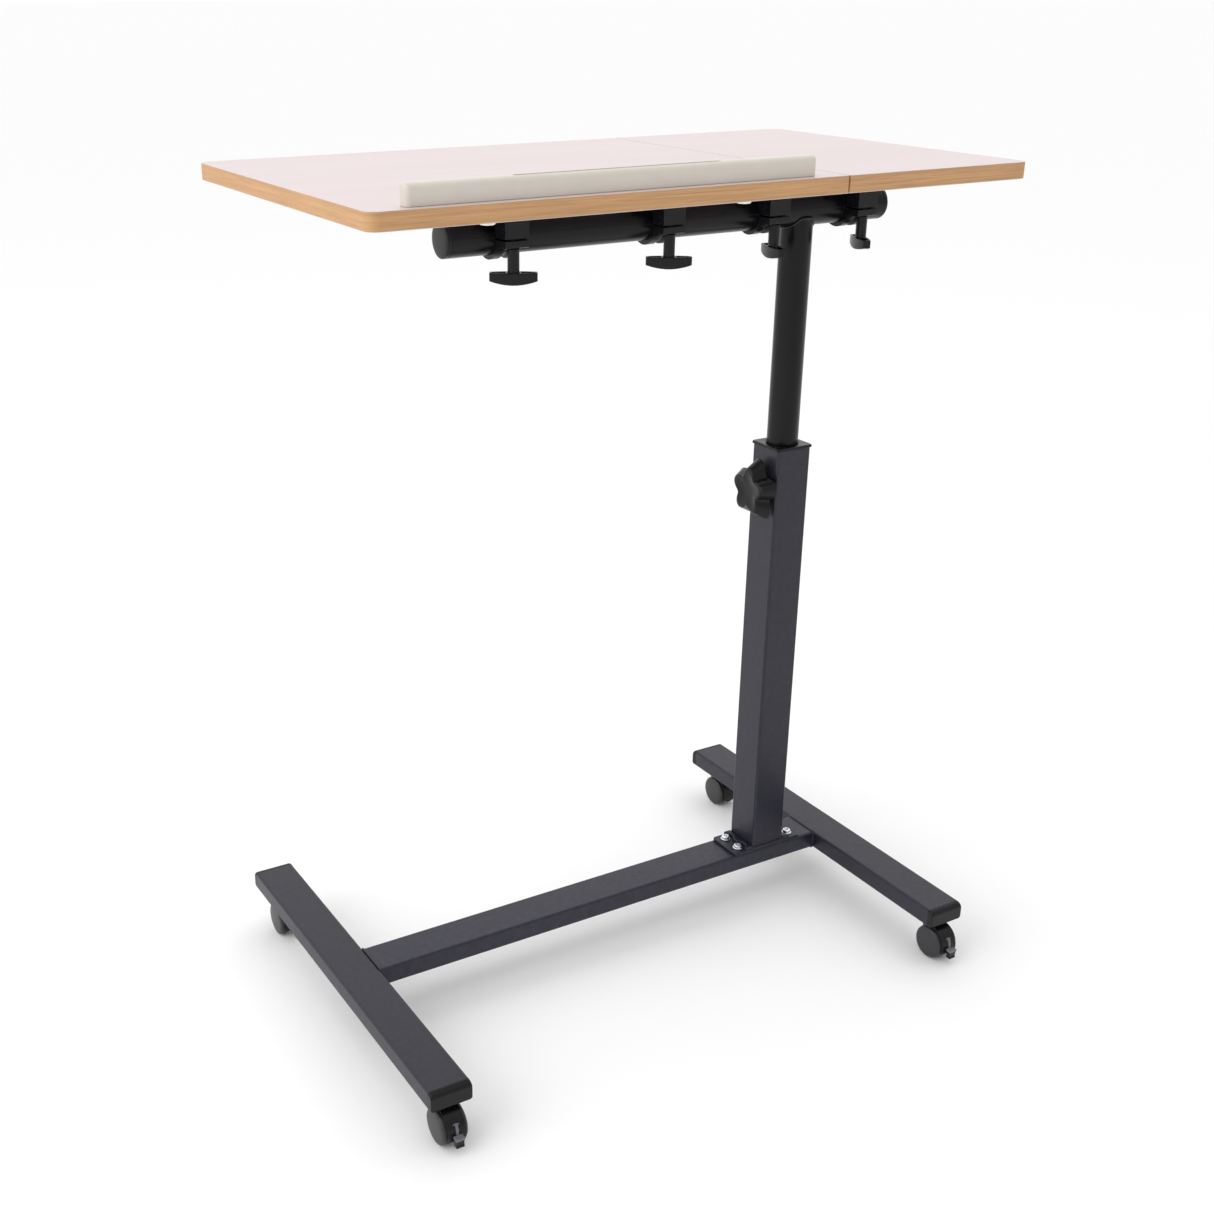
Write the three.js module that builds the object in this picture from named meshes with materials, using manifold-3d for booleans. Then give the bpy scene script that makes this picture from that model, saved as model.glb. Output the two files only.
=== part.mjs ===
// A mobile overbed table: an H-shaped base on four twin-wheel castors, a square column that
// clamps a round height post, and two laminated panels that tilt on a round crossbar.
// Millimetres. +X runs along the crossbar, +Z is up, and the floor is z = 0.

import * as THREE from 'three';
import { mergeVertices } from 'three/addons/utils/BufferGeometryUtils.js';
import Module from 'manifold-3d';

const wasm = await Module();
wasm.setup();

// ---------------------------------------------------------------- driving dimensions

const GAP = 0.3; // clearance left between pieces that touch

const panel = {
  left: -352.5,
  seamLeft: 128.5,
  seamRight: 130,
  right: 356,
  halfDepth: 200,
  top: 897,
  thickness: 16,
  outerCorner: 11,
  seamCorner: 1.5,
  band: 1,
};
const panelUnderside = panel.top - panel.thickness;

const bookStop = {
  left: -320,
  right: 97.5,
  front: -191,
  back: -176,
  height: 18.3,
  corner: 5,
  frontEdge: 5,
  backEdge: 1.5,
};
const bookSlot = { left: -214, right: -5, front: -185.6, back: -180, depth: 9 };
const stopCap = { y: -187, radius: 7, height: 3, pegRadius: 2, pegTop: 904, xs: [-240.8, 18.9] };

const crossbar = {
  left: -192,
  right: 344,
  height: 836.8,
  radius: 17.5,
  wall: 1.5,
  flange: 5.5,
  plug: 12,
};

const clamp = { wall: 4, width: 26, front: -36, lugDepth: 7.8, slitTop: 0.7, slitBottom: -0.8 };
const clampXs = [-127.8, 50.3, 181.4, 298.6];
const wingScrew = {
  y: -28,
  boltRadius: 4,
  boltTop: 855,
  hubRadius: 5.8,
  halfLength: 23,
  midDepth: 6.8,
  endDepth: 3.6,
  endCorner: 2.5,
  top: 806,
  endBottom: 798,
  bottom: 794.4,
  pocketStart: 7.5,
  pocketEnd: 21,
};
const wingTurns = [-30, -30, -104, -112]; // degrees about the screw, from the crossbar's direction

const post = { x: 233, radius: 17.5, wall: 1.5, bottom: 330, top: 829 };
const glide = { side: 41.2, height: 30, spigotRadius: 15.6, spigot: 20 };

const column = { side: 46, wall: 2, corner: 3, bottom: 73.3, top: 579 };
const bush = { lip: 49, lipHeight: 3, plug: 41.4, plugDepth: 27, bore: 17.9, chamfer: 1.2 };

const knob = {
  z: 532,
  front: 187,
  back: 203,
  lobes: 5,
  phase: 20, // degrees from +Y towards +Z to the first lobe
  radius: 24,
  swell: 4.5,
  flare: 1.3,
};
const stud = { radius: 4, hole: 4.4, left: 190, right: 213.2 };
const weldNut = { left: 203.7, right: 209.7, radius: 8 };
const pressurePad = { left: 213.5, right: 215.1, radius: 6 };

const rail = { width: 46, bottom: 47.5, top: 69.5, wall: 1.5, corner: 3 };
const foot = {
  leftX: -319.1,
  rightX: 328.5,
  halfLength: 240,
  flange: 7,
  plug: 12,
  noseTop: 6.5,
  noseBottom: 3,
};
const beam = { width: 48 };
const basePlate = { length: 100, width: 48, top: 73, corner: 4, bevel: 0.8 };
const padPlate = { length: 66, width: 46, top: 77, pocket: 9.5 };
const plateScrew = { dx: 38, dy: 12.5, radius: 3, hole: 3.4, washer: 6, head: 4.8, bottom: 56 };

const castor = {
  stemY: 214,
  stemRadius: 4,
  stemHole: 4.4,
  collarRadius: 8,
  trail: 13.5,
  axleZ: 20,
  wheelRadius: 20,
  wheelInner: 5,
  wheelWidth: 10,
  axleRadius: 2,
  axleHalf: 12.7,
  webHalf: 4.7,
  webHub: 6,
  fenderHalf: 10.3,
  fenderInner: 20.8,
  fenderOuter: 22.3,
  fenderStart: 60,
  fenderEnd: 200,
  journal: 3,
  bossRadius: 6.5,
  bossTop: 45.4,
};
const lever = {
  pivotRadius: 21.6,
  pivotAngle: 150,
  arm: [21, 23.6],
  armEnd: 192,
  slotFloor: 19.4,
  width: 3,
  slotWidth: 3.8,
  cheekRadius: 1.9,
  cheekHalf: 3.9,
  trunnion: 0.8,
  pedal: { near: -43.2, far: -36.2, bottom: 7, top: 18, halfWidth: 4.8 },
};

// The main panel's end and the far feet reach less far from the crossbar's middle than the side
// panel's end and the near pedals do. The whole table is moved by half of each difference, so
// that the origin is the middle of the footprint.
const footprintShift = {
  x: -(panel.left + panel.right) / 2,
  y: (castor.stemY - lever.pedal.near - foot.halfLength) / 2,
};

// ---------------------------------------------------------------- finishes

function finish(color, roughness, metalness) {
  return new THREE.MeshStandardMaterial({ color, roughness, metalness });
}

const powderCoat = finish(0x2b2b2e, 0.45, 0.2);
const blackPlastic = finish(0x212124, 0.55, 0);
const greyPlastic = finish(0x8b8d91, 0.5, 0);
const tread = finish(0x3b3b3f, 0.75, 0);
const zinc = finish(0xc3c6ca, 0.3, 0.9);
const steel = finish(0x9a9da1, 0.35, 0.9);
const laminate = finish(0xece0dd, 0.35, 0);
const edging = finish(0xb98c5f, 0.55, 0);
const beigePlastic = finish(0xd6cdbf, 0.45, 0);
const whitePlastic = finish(0xf2f1ee, 0.4, 0);

// ---------------------------------------------------------------- shapes

const X = new THREE.Vector3(1, 0, 0);
const Y = new THREE.Vector3(0, 1, 0);
const Z = new THREE.Vector3(0, 0, 1);
const axes = { x: X, y: Y, z: Z };

// An extruded outline's own x and y lie along Y and Z for 'x', X and Z for 'y', X and Y for 'z'.
const extrusionFrames = {
  x: new THREE.Matrix4().makeBasis(Y, Z, X),
  y: new THREE.Matrix4().makeBasis(X, Z, Y.clone().negate()),
  z: new THREE.Matrix4(),
};

function extrude(outline, axis, from, to, { bevel = 0, curveSegments = 3 } = {}) {
  const geometry = new THREE.ExtrudeGeometry(outline, {
    depth: to - from - 2 * bevel,
    bevelEnabled: bevel > 0,
    bevelThickness: bevel,
    bevelSize: bevel,
    bevelOffset: -bevel,
    bevelSegments: 1,
    curveSegments,
  });
  geometry.translate(0, 0, bevel);
  geometry.applyMatrix4(extrusionFrames[axis]);
  const start = axes[axis].clone().multiplyScalar(axis === 'y' ? to : from);
  return geometry.translate(start.x, start.y, start.z);
}

const turningFrames = {
  x: new THREE.Matrix4().makeBasis(Z, X, Y),
  '-x': new THREE.Matrix4().makeBasis(Z, X.clone().negate(), Y.clone().negate()),
  z: new THREE.Matrix4().makeBasis(X, Z, Y.clone().negate()),
};

// Turns a profile of [radius, place along the axis] points, starting and ending on the axis.
function turn(profile, axis, segments = 24) {
  const points = profile.map(([radius, along]) => new THREE.Vector2(radius, along));
  return new THREE.LatheGeometry(points, segments).applyMatrix4(turningFrames[axis]);
}

function rod(radius, axis, from, to, segments = 24) {
  return turn([[0, from], [radius, from], [radius, to], [0, to]], axis, segments);
}

function box([x0, x1], [y0, y1], [z0, z1]) {
  const geometry = new THREE.BoxGeometry(x1 - x0, y1 - y0, z1 - z0);
  return geometry.translate((x0 + x1) / 2, (y0 + y1) / 2, (z0 + z1) / 2);
}

// A closed outline with a round corner at each of its right angles, given as [x, y, radius].
function roundedOutline(corners) {
  const outline = new THREE.Shape();
  corners.forEach(([x, y, radius], index) => {
    const [beforeX, beforeY] = corners[(index + corners.length - 1) % corners.length];
    const [afterX, afterY] = corners[(index + 1) % corners.length];
    const inX = x - Math.sign(x - beforeX) * radius;
    const inY = y - Math.sign(y - beforeY) * radius;
    const outX = x + Math.sign(afterX - x) * radius;
    const outY = y + Math.sign(afterY - y) * radius;
    if (index === 0) {
      outline.moveTo(inX, inY);
    } else {
      outline.lineTo(inX, inY);
    }
    outline.quadraticCurveTo(x, y, outX, outY);
  });
  outline.closePath();
  return outline;
}

function rectangle([x0, x1], [y0, y1], radii) {
  const [r0, r1, r2, r3] = typeof radii === 'number' ? [radii, radii, radii, radii] : radii;
  return roundedOutline([[x0, y0, r0], [x1, y0, r1], [x1, y1, r2], [x0, y1, r3]]);
}

function square(side, radius) {
  return rectangle([-side / 2, side / 2], [-side / 2, side / 2], radius);
}

function ring(outer, inner) {
  const outline = new THREE.Shape().absarc(0, 0, outer, 0, 2 * Math.PI);
  outline.holes.push(new THREE.Path().absarc(0, 0, inner, 0, 2 * Math.PI));
  return outline;
}

function tube(outer, wall, axis, from, to, segments = 32) {
  return extrude(ring(outer, outer - wall), axis, from, to, { curveSegments: segments / 2 });
}

// ---------------------------------------------------------------- joins and cuts

function solid(geometry) {
  const bare = geometry.clone();
  bare.deleteAttribute('normal');
  bare.deleteAttribute('uv');
  const merged = mergeVertices(bare);
  const vertProperties = new Float32Array(merged.attributes.position.array);
  const triVerts = new Uint32Array(merged.index.array);
  return new wasm.Manifold(new wasm.Mesh({ numProp: 3, vertProperties, triVerts }));
}

function geometryOf(manifold) {
  const { vertProperties, triVerts } = manifold.getMesh();
  const geometry = new THREE.BufferGeometry();
  geometry.setAttribute('position', new THREE.BufferAttribute(vertProperties, 3));
  geometry.setIndex(new THREE.BufferAttribute(triVerts, 1));
  return geometry;
}

function join(...geometries) {
  return geometryOf(geometries.map(solid).reduce((whole, next) => whole.add(next)));
}

function cut(geometry, ...tools) {
  return geometryOf(tools.map(solid).reduce((rest, tool) => rest.subtract(tool), solid(geometry)));
}

function common(first, second) {
  return geometryOf(solid(first).intersect(solid(second)));
}

// ---------------------------------------------------------------- assembly

const table = new THREE.Group();
table.position.set(footprintShift.x, footprintShift.y, 0);

function place(name, geometry, material, parent = table) {
  const mesh = new THREE.Mesh(geometry, material);
  mesh.name = name;
  parent.add(mesh);
  return mesh;
}

// ---------------------------------------------------------------- panels

function panelOutline(left, right, corners, inset) {
  const halfDepth = panel.halfDepth - inset;
  const radii = corners.map((radius) => Math.max(radius - inset, 0.4));
  return rectangle([left + inset, right - inset], [-halfDepth, halfDepth], radii);
}

function edgeBand(left, right, corners) {
  const outline = panelOutline(left, right, corners, 0);
  outline.holes.push(panelOutline(left, right, corners, panel.band));
  return extrude(outline, 'z', panelUnderside, panel.top, { curveSegments: 6 });
}

function panelCore(left, right, corners) {
  const outline = panelOutline(left, right, corners, panel.band + GAP);
  return extrude(outline, 'z', panelUnderside, panel.top, { curveSegments: 6 });
}

// The shallow seat that the book stop is let into.
function bookStopSeat() {
  const { left, right, front, back, corner } = bookStop;
  const outline = rectangle([left - GAP, right + GAP], [front - GAP, back + GAP], corner + GAP);
  return extrude(outline, 'z', panel.top - GAP, panel.top + 1, { curveSegments: 4 });
}

function panels() {
  const { outerCorner, seamCorner } = panel;
  const mainCorners = [outerCorner, seamCorner, seamCorner, outerCorner];
  const sideCorners = [seamCorner, outerCorner, outerCorner, seamCorner];
  const pegHoles = stopCap.xs.map((x) => {
    const hole = rod(stopCap.pegRadius + 0.4, 'z', panelUnderside - 1, panel.top + 1, 12);
    return hole.translate(x, stopCap.y, 0);
  });
  const mainBoard = panelCore(panel.left, panel.seamLeft, mainCorners);
  const mainCore = cut(mainBoard, bookStopSeat(), ...pegHoles);
  place('main_panel', mainCore, laminate);
  place('main_edge_band', edgeBand(panel.left, panel.seamLeft, mainCorners), edging);
  place('side_panel', panelCore(panel.seamRight, panel.right, sideCorners), laminate);
  place('side_edge_band', edgeBand(panel.seamRight, panel.right, sideCorners), edging);
}

// The bar that stops a book from sliding off the tilted panel, with a slot to stand it in.
function bookStopBar() {
  const { left, right, front, back, height, corner, frontEdge, backEdge } = bookStop;
  const bottom = panel.top;
  const top = panel.top + height;
  const plan = rectangle([left, right], [front, back], corner);
  const section = rectangle([front, back], [bottom, top], [0.4, 0.4, backEdge, frontEdge]);
  const body = common(
    extrude(plan, 'z', bottom - 1, top + 1, { curveSegments: 4 }),
    extrude(section, 'x', left, right, { curveSegments: 3 }),
  );
  const slot = box(
    [bookSlot.left, bookSlot.right],
    [bookSlot.front, bookSlot.back],
    [top - bookSlot.depth, top + 1],
  );
  const pegHoles = stopCap.xs.map((x) => {
    const hole = rod(stopCap.pegRadius + 0.4, 'z', bottom - 1, stopCap.pegTop + GAP, 12);
    return hole.translate(x, stopCap.y, 0);
  });
  return cut(body, slot, ...pegHoles);
}

function stopFixings() {
  place('book_stop', bookStopBar(), beigePlastic);
  const underside = panelUnderside - GAP;
  const { radius, height, pegRadius, pegTop } = stopCap;
  const profile = [
    [0, panelUnderside - height],
    [radius - 1, panelUnderside - height],
    [radius, panelUnderside - height + 1],
    [radius, underside],
    [pegRadius, underside],
    [pegRadius, pegTop],
    [0, pegTop],
  ];
  ['left', 'right'].forEach((side, index) => {
    const cap = turn(profile, 'z', 14).translate(stopCap.xs[index], stopCap.y, 0);
    place(`stop_cap_${side}`, cap, whitePlastic);
  });
}

// ---------------------------------------------------------------- crossbar and clamps

function crossbarPieces() {
  const { left, right, height, radius, wall, flange, plug } = crossbar;
  const bar = tube(radius, wall, 'x', left + flange + GAP, right - flange - GAP);
  place('crossbar_tube', bar.translate(0, 0, height), powderCoat);
  const plugRadius = radius - wall - 0.4;
  const profile = [
    [0, 0],
    [plugRadius, 0],
    [plugRadius, plug],
    [radius, plug],
    [radius, plug + flange - 1.2],
    [radius - 2, plug + flange],
    [0, plug + flange],
  ];
  const start = plug + flange;
  const leftCap = turn(profile, '-x', 28).translate(left + start, 0, height);
  const rightCap = turn(profile, 'x', 28).translate(right - start, 0, height);
  place('crossbar_cap_left', leftCap, blackPlastic);
  place('crossbar_cap_right', rightCap, blackPlastic);
}

// A split ring round the crossbar, with a saddle up to the panel and two lugs at the front.
function clampOutline() {
  const bore = crossbar.radius + GAP;
  const outer = bore + clamp.wall;
  const saddleTop = panelUnderside - crossbar.height - GAP;
  const lugBottom = -clamp.lugDepth;
  const upperLip = Math.asin(clamp.slitTop / bore);
  const lowerLip = Math.asin(clamp.slitBottom / bore);
  const lugRoot = Math.asin(lugBottom / outer);
  const outline = new THREE.Shape();
  outline.moveTo(clamp.front, saddleTop);
  outline.lineTo(clamp.front, clamp.slitTop);
  outline.absarc(0, 0, bore, Math.PI - upperLip, -Math.PI - lowerLip, true);
  outline.lineTo(clamp.front, clamp.slitBottom);
  outline.lineTo(clamp.front, lugBottom);
  outline.absarc(0, 0, outer, Math.PI - lugRoot, 2 * Math.PI, false);
  outline.lineTo(outer, saddleTop);
  outline.closePath();
  return outline;
}

function tubeClamp() {
  const half = clamp.width / 2;
  const body = extrude(clampOutline(), 'x', -half, half, { curveSegments: 11 });
  const boltHoleTop = wingScrew.boltTop - crossbar.height + 1;
  const boltHole = rod(wingScrew.boltRadius + 0.4, 'z', -20, boltHoleTop, 12);
  return cut(body, boltHole.translate(0, wingScrew.y, 0));
}

// A T-handled screw: the handle is deepest at the shank and its underside is bowed.
function wingScrewShape() {
  const { halfLength, top, bottom, endBottom, midDepth, endDepth, endCorner } = wingScrew;
  const { hubRadius, boltRadius, boltTop, pocketStart, pocketEnd } = wingScrew;
  const lugUnderside = crossbar.height - clamp.lugDepth - GAP;

  const front = new THREE.Shape();
  front.moveTo(-halfLength, endBottom);
  front.quadraticCurveTo(0, 2 * bottom - endBottom, halfLength, endBottom);
  front.lineTo(halfLength, top - endCorner);
  front.quadraticCurveTo(halfLength, top, halfLength - endCorner, top);
  front.lineTo(endCorner - halfLength, top);
  front.quadraticCurveTo(-halfLength, top, -halfLength, top - endCorner);
  front.closePath();

  const plan = new THREE.Shape();
  plan.moveTo(-halfLength, -endDepth);
  plan.quadraticCurveTo(0, endDepth - 2 * midDepth, halfLength, -endDepth);
  plan.lineTo(halfLength, endDepth);
  plan.quadraticCurveTo(0, 2 * midDepth - endDepth, -halfLength, endDepth);
  plan.closePath();

  const handle = common(
    extrude(front, 'y', -midDepth - 1, midDepth + 1, { curveSegments: 4 }),
    extrude(plan, 'z', bottom - 5, top + 5, { curveSegments: 4 }),
  );
  const pocketFloor = endBottom + 2;
  const pockets = [-1, 1].map((side) => {
    const pocket = new THREE.Shape();
    pocket.moveTo(side * pocketStart, -4.2);
    pocket.lineTo(side * pocketEnd, -2.2);
    pocket.lineTo(side * pocketEnd, 2.2);
    pocket.lineTo(side * pocketStart, 4.2);
    pocket.closePath();
    return extrude(pocket, 'z', pocketFloor, top + 1);
  });
  const shank = turn(
    [[0, top - 6], [hubRadius, top - 6], [hubRadius, lugUnderside], [boltRadius, lugUnderside],
      [boltRadius, boltTop], [0, boltTop]],
    'z',
    16,
  );
  return join(cut(handle, ...pockets), shank);
}

function clampsAndScrews() {
  const clampShape = tubeClamp();
  const screwShape = wingScrewShape();
  clampXs.forEach((x, index) => {
    const ring = place(`tube_clamp_${index + 1}`, clampShape, blackPlastic);
    ring.position.set(x, 0, crossbar.height);
    const screw = place(`wing_screw_${index + 1}`, screwShape, blackPlastic);
    screw.position.set(x, wingScrew.y, 0);
    screw.rotation.z = THREE.MathUtils.degToRad(wingTurns[index]);
  });
}

// ---------------------------------------------------------------- post and column

function postPieces() {
  const tubeBody = tube(post.radius, post.wall, 'z', post.bottom + GAP, post.top);
  tubeBody.translate(post.x, 0, 0);
  const saddle = rod(crossbar.radius + GAP, 'x', post.x - 30, post.x + 30, 28);
  place('inner_post', cut(tubeBody, saddle.translate(0, 0, crossbar.height)), powderCoat);

  const blockBottom = post.bottom - glide.height;
  const block = extrude(square(glide.side, 3), 'z', blockBottom, post.bottom);
  const spigot = rod(glide.spigotRadius, 'z', post.bottom - 2, post.bottom + glide.spigot, 20);
  place('post_glide', join(block, spigot).translate(post.x, 0, 0), blackPlastic);
}

function columnPieces() {
  const outline = square(column.side, column.corner);
  outline.holes.push(square(column.side - 2 * column.wall, column.corner - column.wall));
  const tubeBody = extrude(outline, 'z', column.bottom, column.top).translate(post.x, 0, 0);
  const studHole = rod(stud.hole, 'x', post.x - column.side, post.x, 16).translate(0, 0, knob.z);
  place('column_tube', cut(tubeBody, studHole), powderCoat);

  const lipBottom = column.top + GAP;
  const lipTop = lipBottom + bush.lipHeight;
  const plugBottom = column.top - bush.plugDepth;
  const lip = extrude(square(bush.lip, 3.5), 'z', lipBottom, lipTop, { bevel: 0.6 });
  const plug = extrude(square(bush.plug, 1), 'z', plugBottom, lipBottom + 1);
  const bore = turn(
    [[0, plugBottom - 1], [bush.bore, plugBottom - 1], [bush.bore, lipTop - bush.chamfer],
      [bush.bore + bush.chamfer + 1, lipTop + 1], [0, lipTop + 1]],
    'z',
    28,
  );
  place('column_top_bush', cut(join(lip, plug), bore).translate(post.x, 0, 0), blackPlastic);
}

// ---------------------------------------------------------------- height knob

function lobedOutline() {
  const pointsPerLobe = 6;
  const count = knob.lobes * pointsPerLobe;
  const phase = THREE.MathUtils.degToRad(knob.phase);
  const points = [];
  for (let index = 0; index < count; index += 1) {
    const turned = (2 * Math.PI * index) / count;
    const angle = phase + turned;
    const radius = knob.radius + knob.swell * Math.cos(knob.lobes * turned);
    points.push(new THREE.Vector2(radius * Math.cos(angle), radius * Math.sin(angle)));
  }
  return new THREE.Shape(points);
}

// Widens a geometry steadily from its front to its back along X.
function flareAlongX(geometry, front, back, ratio) {
  const position = geometry.attributes.position;
  for (let index = 0; index < position.count; index += 1) {
    const share = (position.getX(index) - front) / (back - front);
    const scale = 1 + (ratio - 1) * share;
    position.setY(index, position.getY(index) * scale);
    position.setZ(index, position.getZ(index) * scale);
  }
  return geometry;
}

function knobPieces() {
  const body = extrude(lobedOutline(), 'x', knob.front, knob.back, { bevel: 2.5 });
  const socket = rod(stud.hole, 'x', stud.left - GAP, knob.back + 1, 16);
  const shape = cut(flareAlongX(body, knob.front, knob.back, knob.flare), socket);
  place('star_knob', shape.translate(0, 0, knob.z), blackPlastic);

  const thread = rod(stud.radius, 'x', stud.left, stud.right, 16);
  place('knob_stud', thread.translate(0, 0, knob.z), steel);

  const hexagon = rod(weldNut.radius, 'x', weldNut.left, weldNut.right, 6);
  const nutHole = rod(stud.hole, 'x', weldNut.left - 1, weldNut.right + 1, 16);
  place('knob_weld_nut', cut(hexagon, nutHole).translate(0, 0, knob.z), powderCoat);

  const pad = rod(pressurePad.radius, 'x', pressurePad.left, pressurePad.right, 14);
  place('knob_pressure_pad', pad.translate(0, 0, knob.z), blackPlastic);
}

// ---------------------------------------------------------------- base frame

const railMiddle = (rail.bottom + rail.top) / 2;
const railHeight = rail.top - rail.bottom;

function railSection(width, inset, radius) {
  const halfWidth = width / 2 - inset;
  const halfHeight = railHeight / 2 - inset;
  return rectangle([-halfWidth, halfWidth], [-halfHeight, halfHeight], radius);
}

function railTube(width, axis, from, to) {
  const outline = railSection(width, 0, rail.corner);
  outline.holes.push(railSection(width, rail.wall, rail.corner - rail.wall));
  return extrude(outline, axis, from, to).translate(0, 0, railMiddle);
}

function footTube(x) {
  const end = foot.halfLength - foot.flange - GAP;
  const body = railTube(rail.width, 'y', -end, end);
  const stemHoles = [-castor.stemY, castor.stemY].map((y) => {
    const hole = rod(castor.stemHole, 'z', rail.bottom - 1, rail.bottom + rail.wall + 1, 16);
    return hole.translate(0, y, 0);
  });
  return cut(body, ...stemHoles).translate(x, 0, 0);
}

function footEndCap() {
  const tubeEnd = foot.halfLength - foot.flange;
  const plugInset = rail.wall + GAP;
  const end = foot.halfLength;
  const nose = rectangle([tubeEnd, end], [-railHeight / 2, railHeight / 2], [
    0,
    foot.noseBottom,
    foot.noseTop,
    0,
  ]);
  const flange = common(
    extrude(railSection(rail.width, 0, rail.corner), 'y', tubeEnd, end + 1),
    extrude(nose, 'x', -rail.width, rail.width, { curveSegments: 5 }),
  );
  const plugOutline = railSection(rail.width, plugInset, 1);
  const plug = extrude(plugOutline, 'y', tubeEnd - foot.plug, tubeEnd + 1);
  return join(flange, plug).translate(0, 0, railMiddle);
}

function screwPlaces() {
  const { dx, dy } = plateScrew;
  return [[-dx, -dy], [dx, -dy], [-dx, dy], [dx, dy]].map(([x, y]) => [post.x + x, y]);
}

function screwHoles(from, to) {
  return screwPlaces().map(([x, y]) => rod(plateScrew.hole, 'z', from, to, 10).translate(x, y, 0));
}

function basePlateShape() {
  const { length, width, top, corner, bevel } = basePlate;
  const columnRoom = column.side / 2 + GAP;
  const bottom = rail.top + GAP;
  const plateOutline = rectangle([-length / 2, length / 2], [-width / 2, width / 2], corner);
  const halfPad = [padPlate.length / 2, padPlate.width / 2];
  const padOutline = rectangle([-halfPad[0], halfPad[0]], [-halfPad[1], halfPad[1]], 3);
  const plate = extrude(plateOutline, 'z', bottom, top, { bevel });
  const pockets = screwPlaces().map(([x, y]) => {
    const pocket = rod(padPlate.pocket, 'z', bottom, padPlate.top + 1, 16);
    return pocket.translate(x - post.x, y, 0);
  });
  const between = box([-columnRoom, columnRoom], [-width, width], [top, padPlate.top + 1]);
  const pads = extrude(padOutline, 'z', top - 1, padPlate.top, { bevel });
  const raised = cut(pads, between, ...pockets);
  const whole = join(plate, raised).translate(post.x, 0, 0);
  return cut(whole, ...screwHoles(bottom - 1, top + 1));
}

function basePieces() {
  const leftInner = foot.leftX + rail.width / 2 + GAP;
  const rightInner = foot.rightX - rail.width / 2 - GAP;
  const beamTube = railTube(beam.width, 'x', leftInner, rightInner);
  const holes = screwHoles(rail.top - rail.wall - 1, rail.top + 1);
  place('base_beam', cut(beamTube, ...holes), powderCoat);
  place('column_base_plate', basePlateShape(), powderCoat);

  const { radius, washer, head, bottom } = plateScrew;
  const seat = basePlate.top + GAP;
  const screwShape = turn(
    [[0, bottom], [radius, bottom], [radius, seat], [washer, seat], [washer, seat + 1.2],
      [head, seat + 1.5], [head, seat + 4.5], [0, seat + 4.5]],
    'z',
    12,
  );
  screwPlaces().forEach(([x, y], index) => {
    place(`plate_screw_${index + 1}`, screwShape, zinc).position.set(x, y, 0);
  });

  const capShape = footEndCap();
  const sides = { left: foot.leftX, right: foot.rightX };
  Object.entries(sides).forEach(([side, x]) => {
    place(`${side}_foot_tube`, footTube(x), powderCoat);
    const far = place(`foot_end_cap_${side}_far`, capShape, blackPlastic);
    far.position.x = x;
    const near = place(`foot_end_cap_${side}_near`, capShape, blackPlastic);
    near.position.x = x;
    near.rotation.z = Math.PI;
  });
}

// ---------------------------------------------------------------- castors

// Castor shapes are made round the stem: x = y = 0 is the stem's axis and z = 0 the floor. The
// axle lies to the near side of the stem. Angles turn about the axle, from the far side upward.
const axleY = -castor.trail;

function aroundAxle(outline, halfWidth, curveSegments) {
  const shape = extrude(outline, 'x', -halfWidth, halfWidth, { curveSegments });
  return shape.translate(0, axleY, castor.axleZ);
}

function arcBand(inner, outer, startDegrees, endDegrees) {
  const start = THREE.MathUtils.degToRad(startDegrees);
  const end = THREE.MathUtils.degToRad(endDegrees);
  const outline = new THREE.Shape();
  outline.absarc(0, 0, outer, start, end, false);
  outline.absarc(0, 0, inner, end, start, true);
  outline.closePath();
  return outline;
}

function webOutline() {
  const start = THREE.MathUtils.degToRad(castor.fenderStart);
  const end = THREE.MathUtils.degToRad(castor.fenderEnd);
  const outline = new THREE.Shape();
  outline.absarc(0, 0, castor.fenderOuter - 0.5, start, end, false);
  outline.absarc(0, 0, castor.webHub, 1.35 * Math.PI, 2.15 * Math.PI, false);
  outline.closePath();
  return outline;
}

function pivotCentre() {
  const angle = THREE.MathUtils.degToRad(lever.pivotAngle);
  return [
    axleY + lever.pivotRadius * Math.cos(angle),
    castor.axleZ + lever.pivotRadius * Math.sin(angle),
  ];
}

function hoodShape(withLever) {
  const { fenderInner, fenderOuter, fenderStart, fenderEnd, webHalf, journal } = castor;
  const fender = arcBand(fenderInner, fenderOuter, fenderStart, fenderEnd);
  const stemHousing = webHalf + 0.5;
  const shapes = [
    aroundAxle(fender, castor.fenderHalf, 4),
    aroundAxle(webOutline(), webHalf, 4),
    box([-webHalf, webHalf], [-stemHousing, stemHousing], [castor.axleZ + 4, castor.bossTop - 2]),
    rod(castor.bossRadius, 'z', castor.axleZ + 21, castor.bossTop, 12),
  ];
  const tools = [
    rod(journal + 0.5, 'z', castor.axleZ + 5.5, castor.bossTop + 1, 12),
    rod(castor.axleRadius + 0.4, 'x', -20, 20, 10).translate(0, axleY, castor.axleZ),
  ];
  if (withLever) {
    const [pivotY, pivotZ] = pivotCentre();
    const slot = arcBand(lever.slotFloor, fenderOuter + 4, lever.pivotAngle - 12, fenderEnd + 5);
    const { cheekRadius, cheekHalf, trunnion, slotWidth } = lever;
    shapes.push(rod(cheekRadius, 'x', -cheekHalf, cheekHalf, 10).translate(0, pivotY, pivotZ));
    tools.push(aroundAxle(slot, slotWidth / 2, 4));
    tools.push(rod(trunnion + 0.35, 'x', -20, 20, 8).translate(0, pivotY, pivotZ));
  }
  return cut(join(...shapes), ...tools);
}

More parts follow.
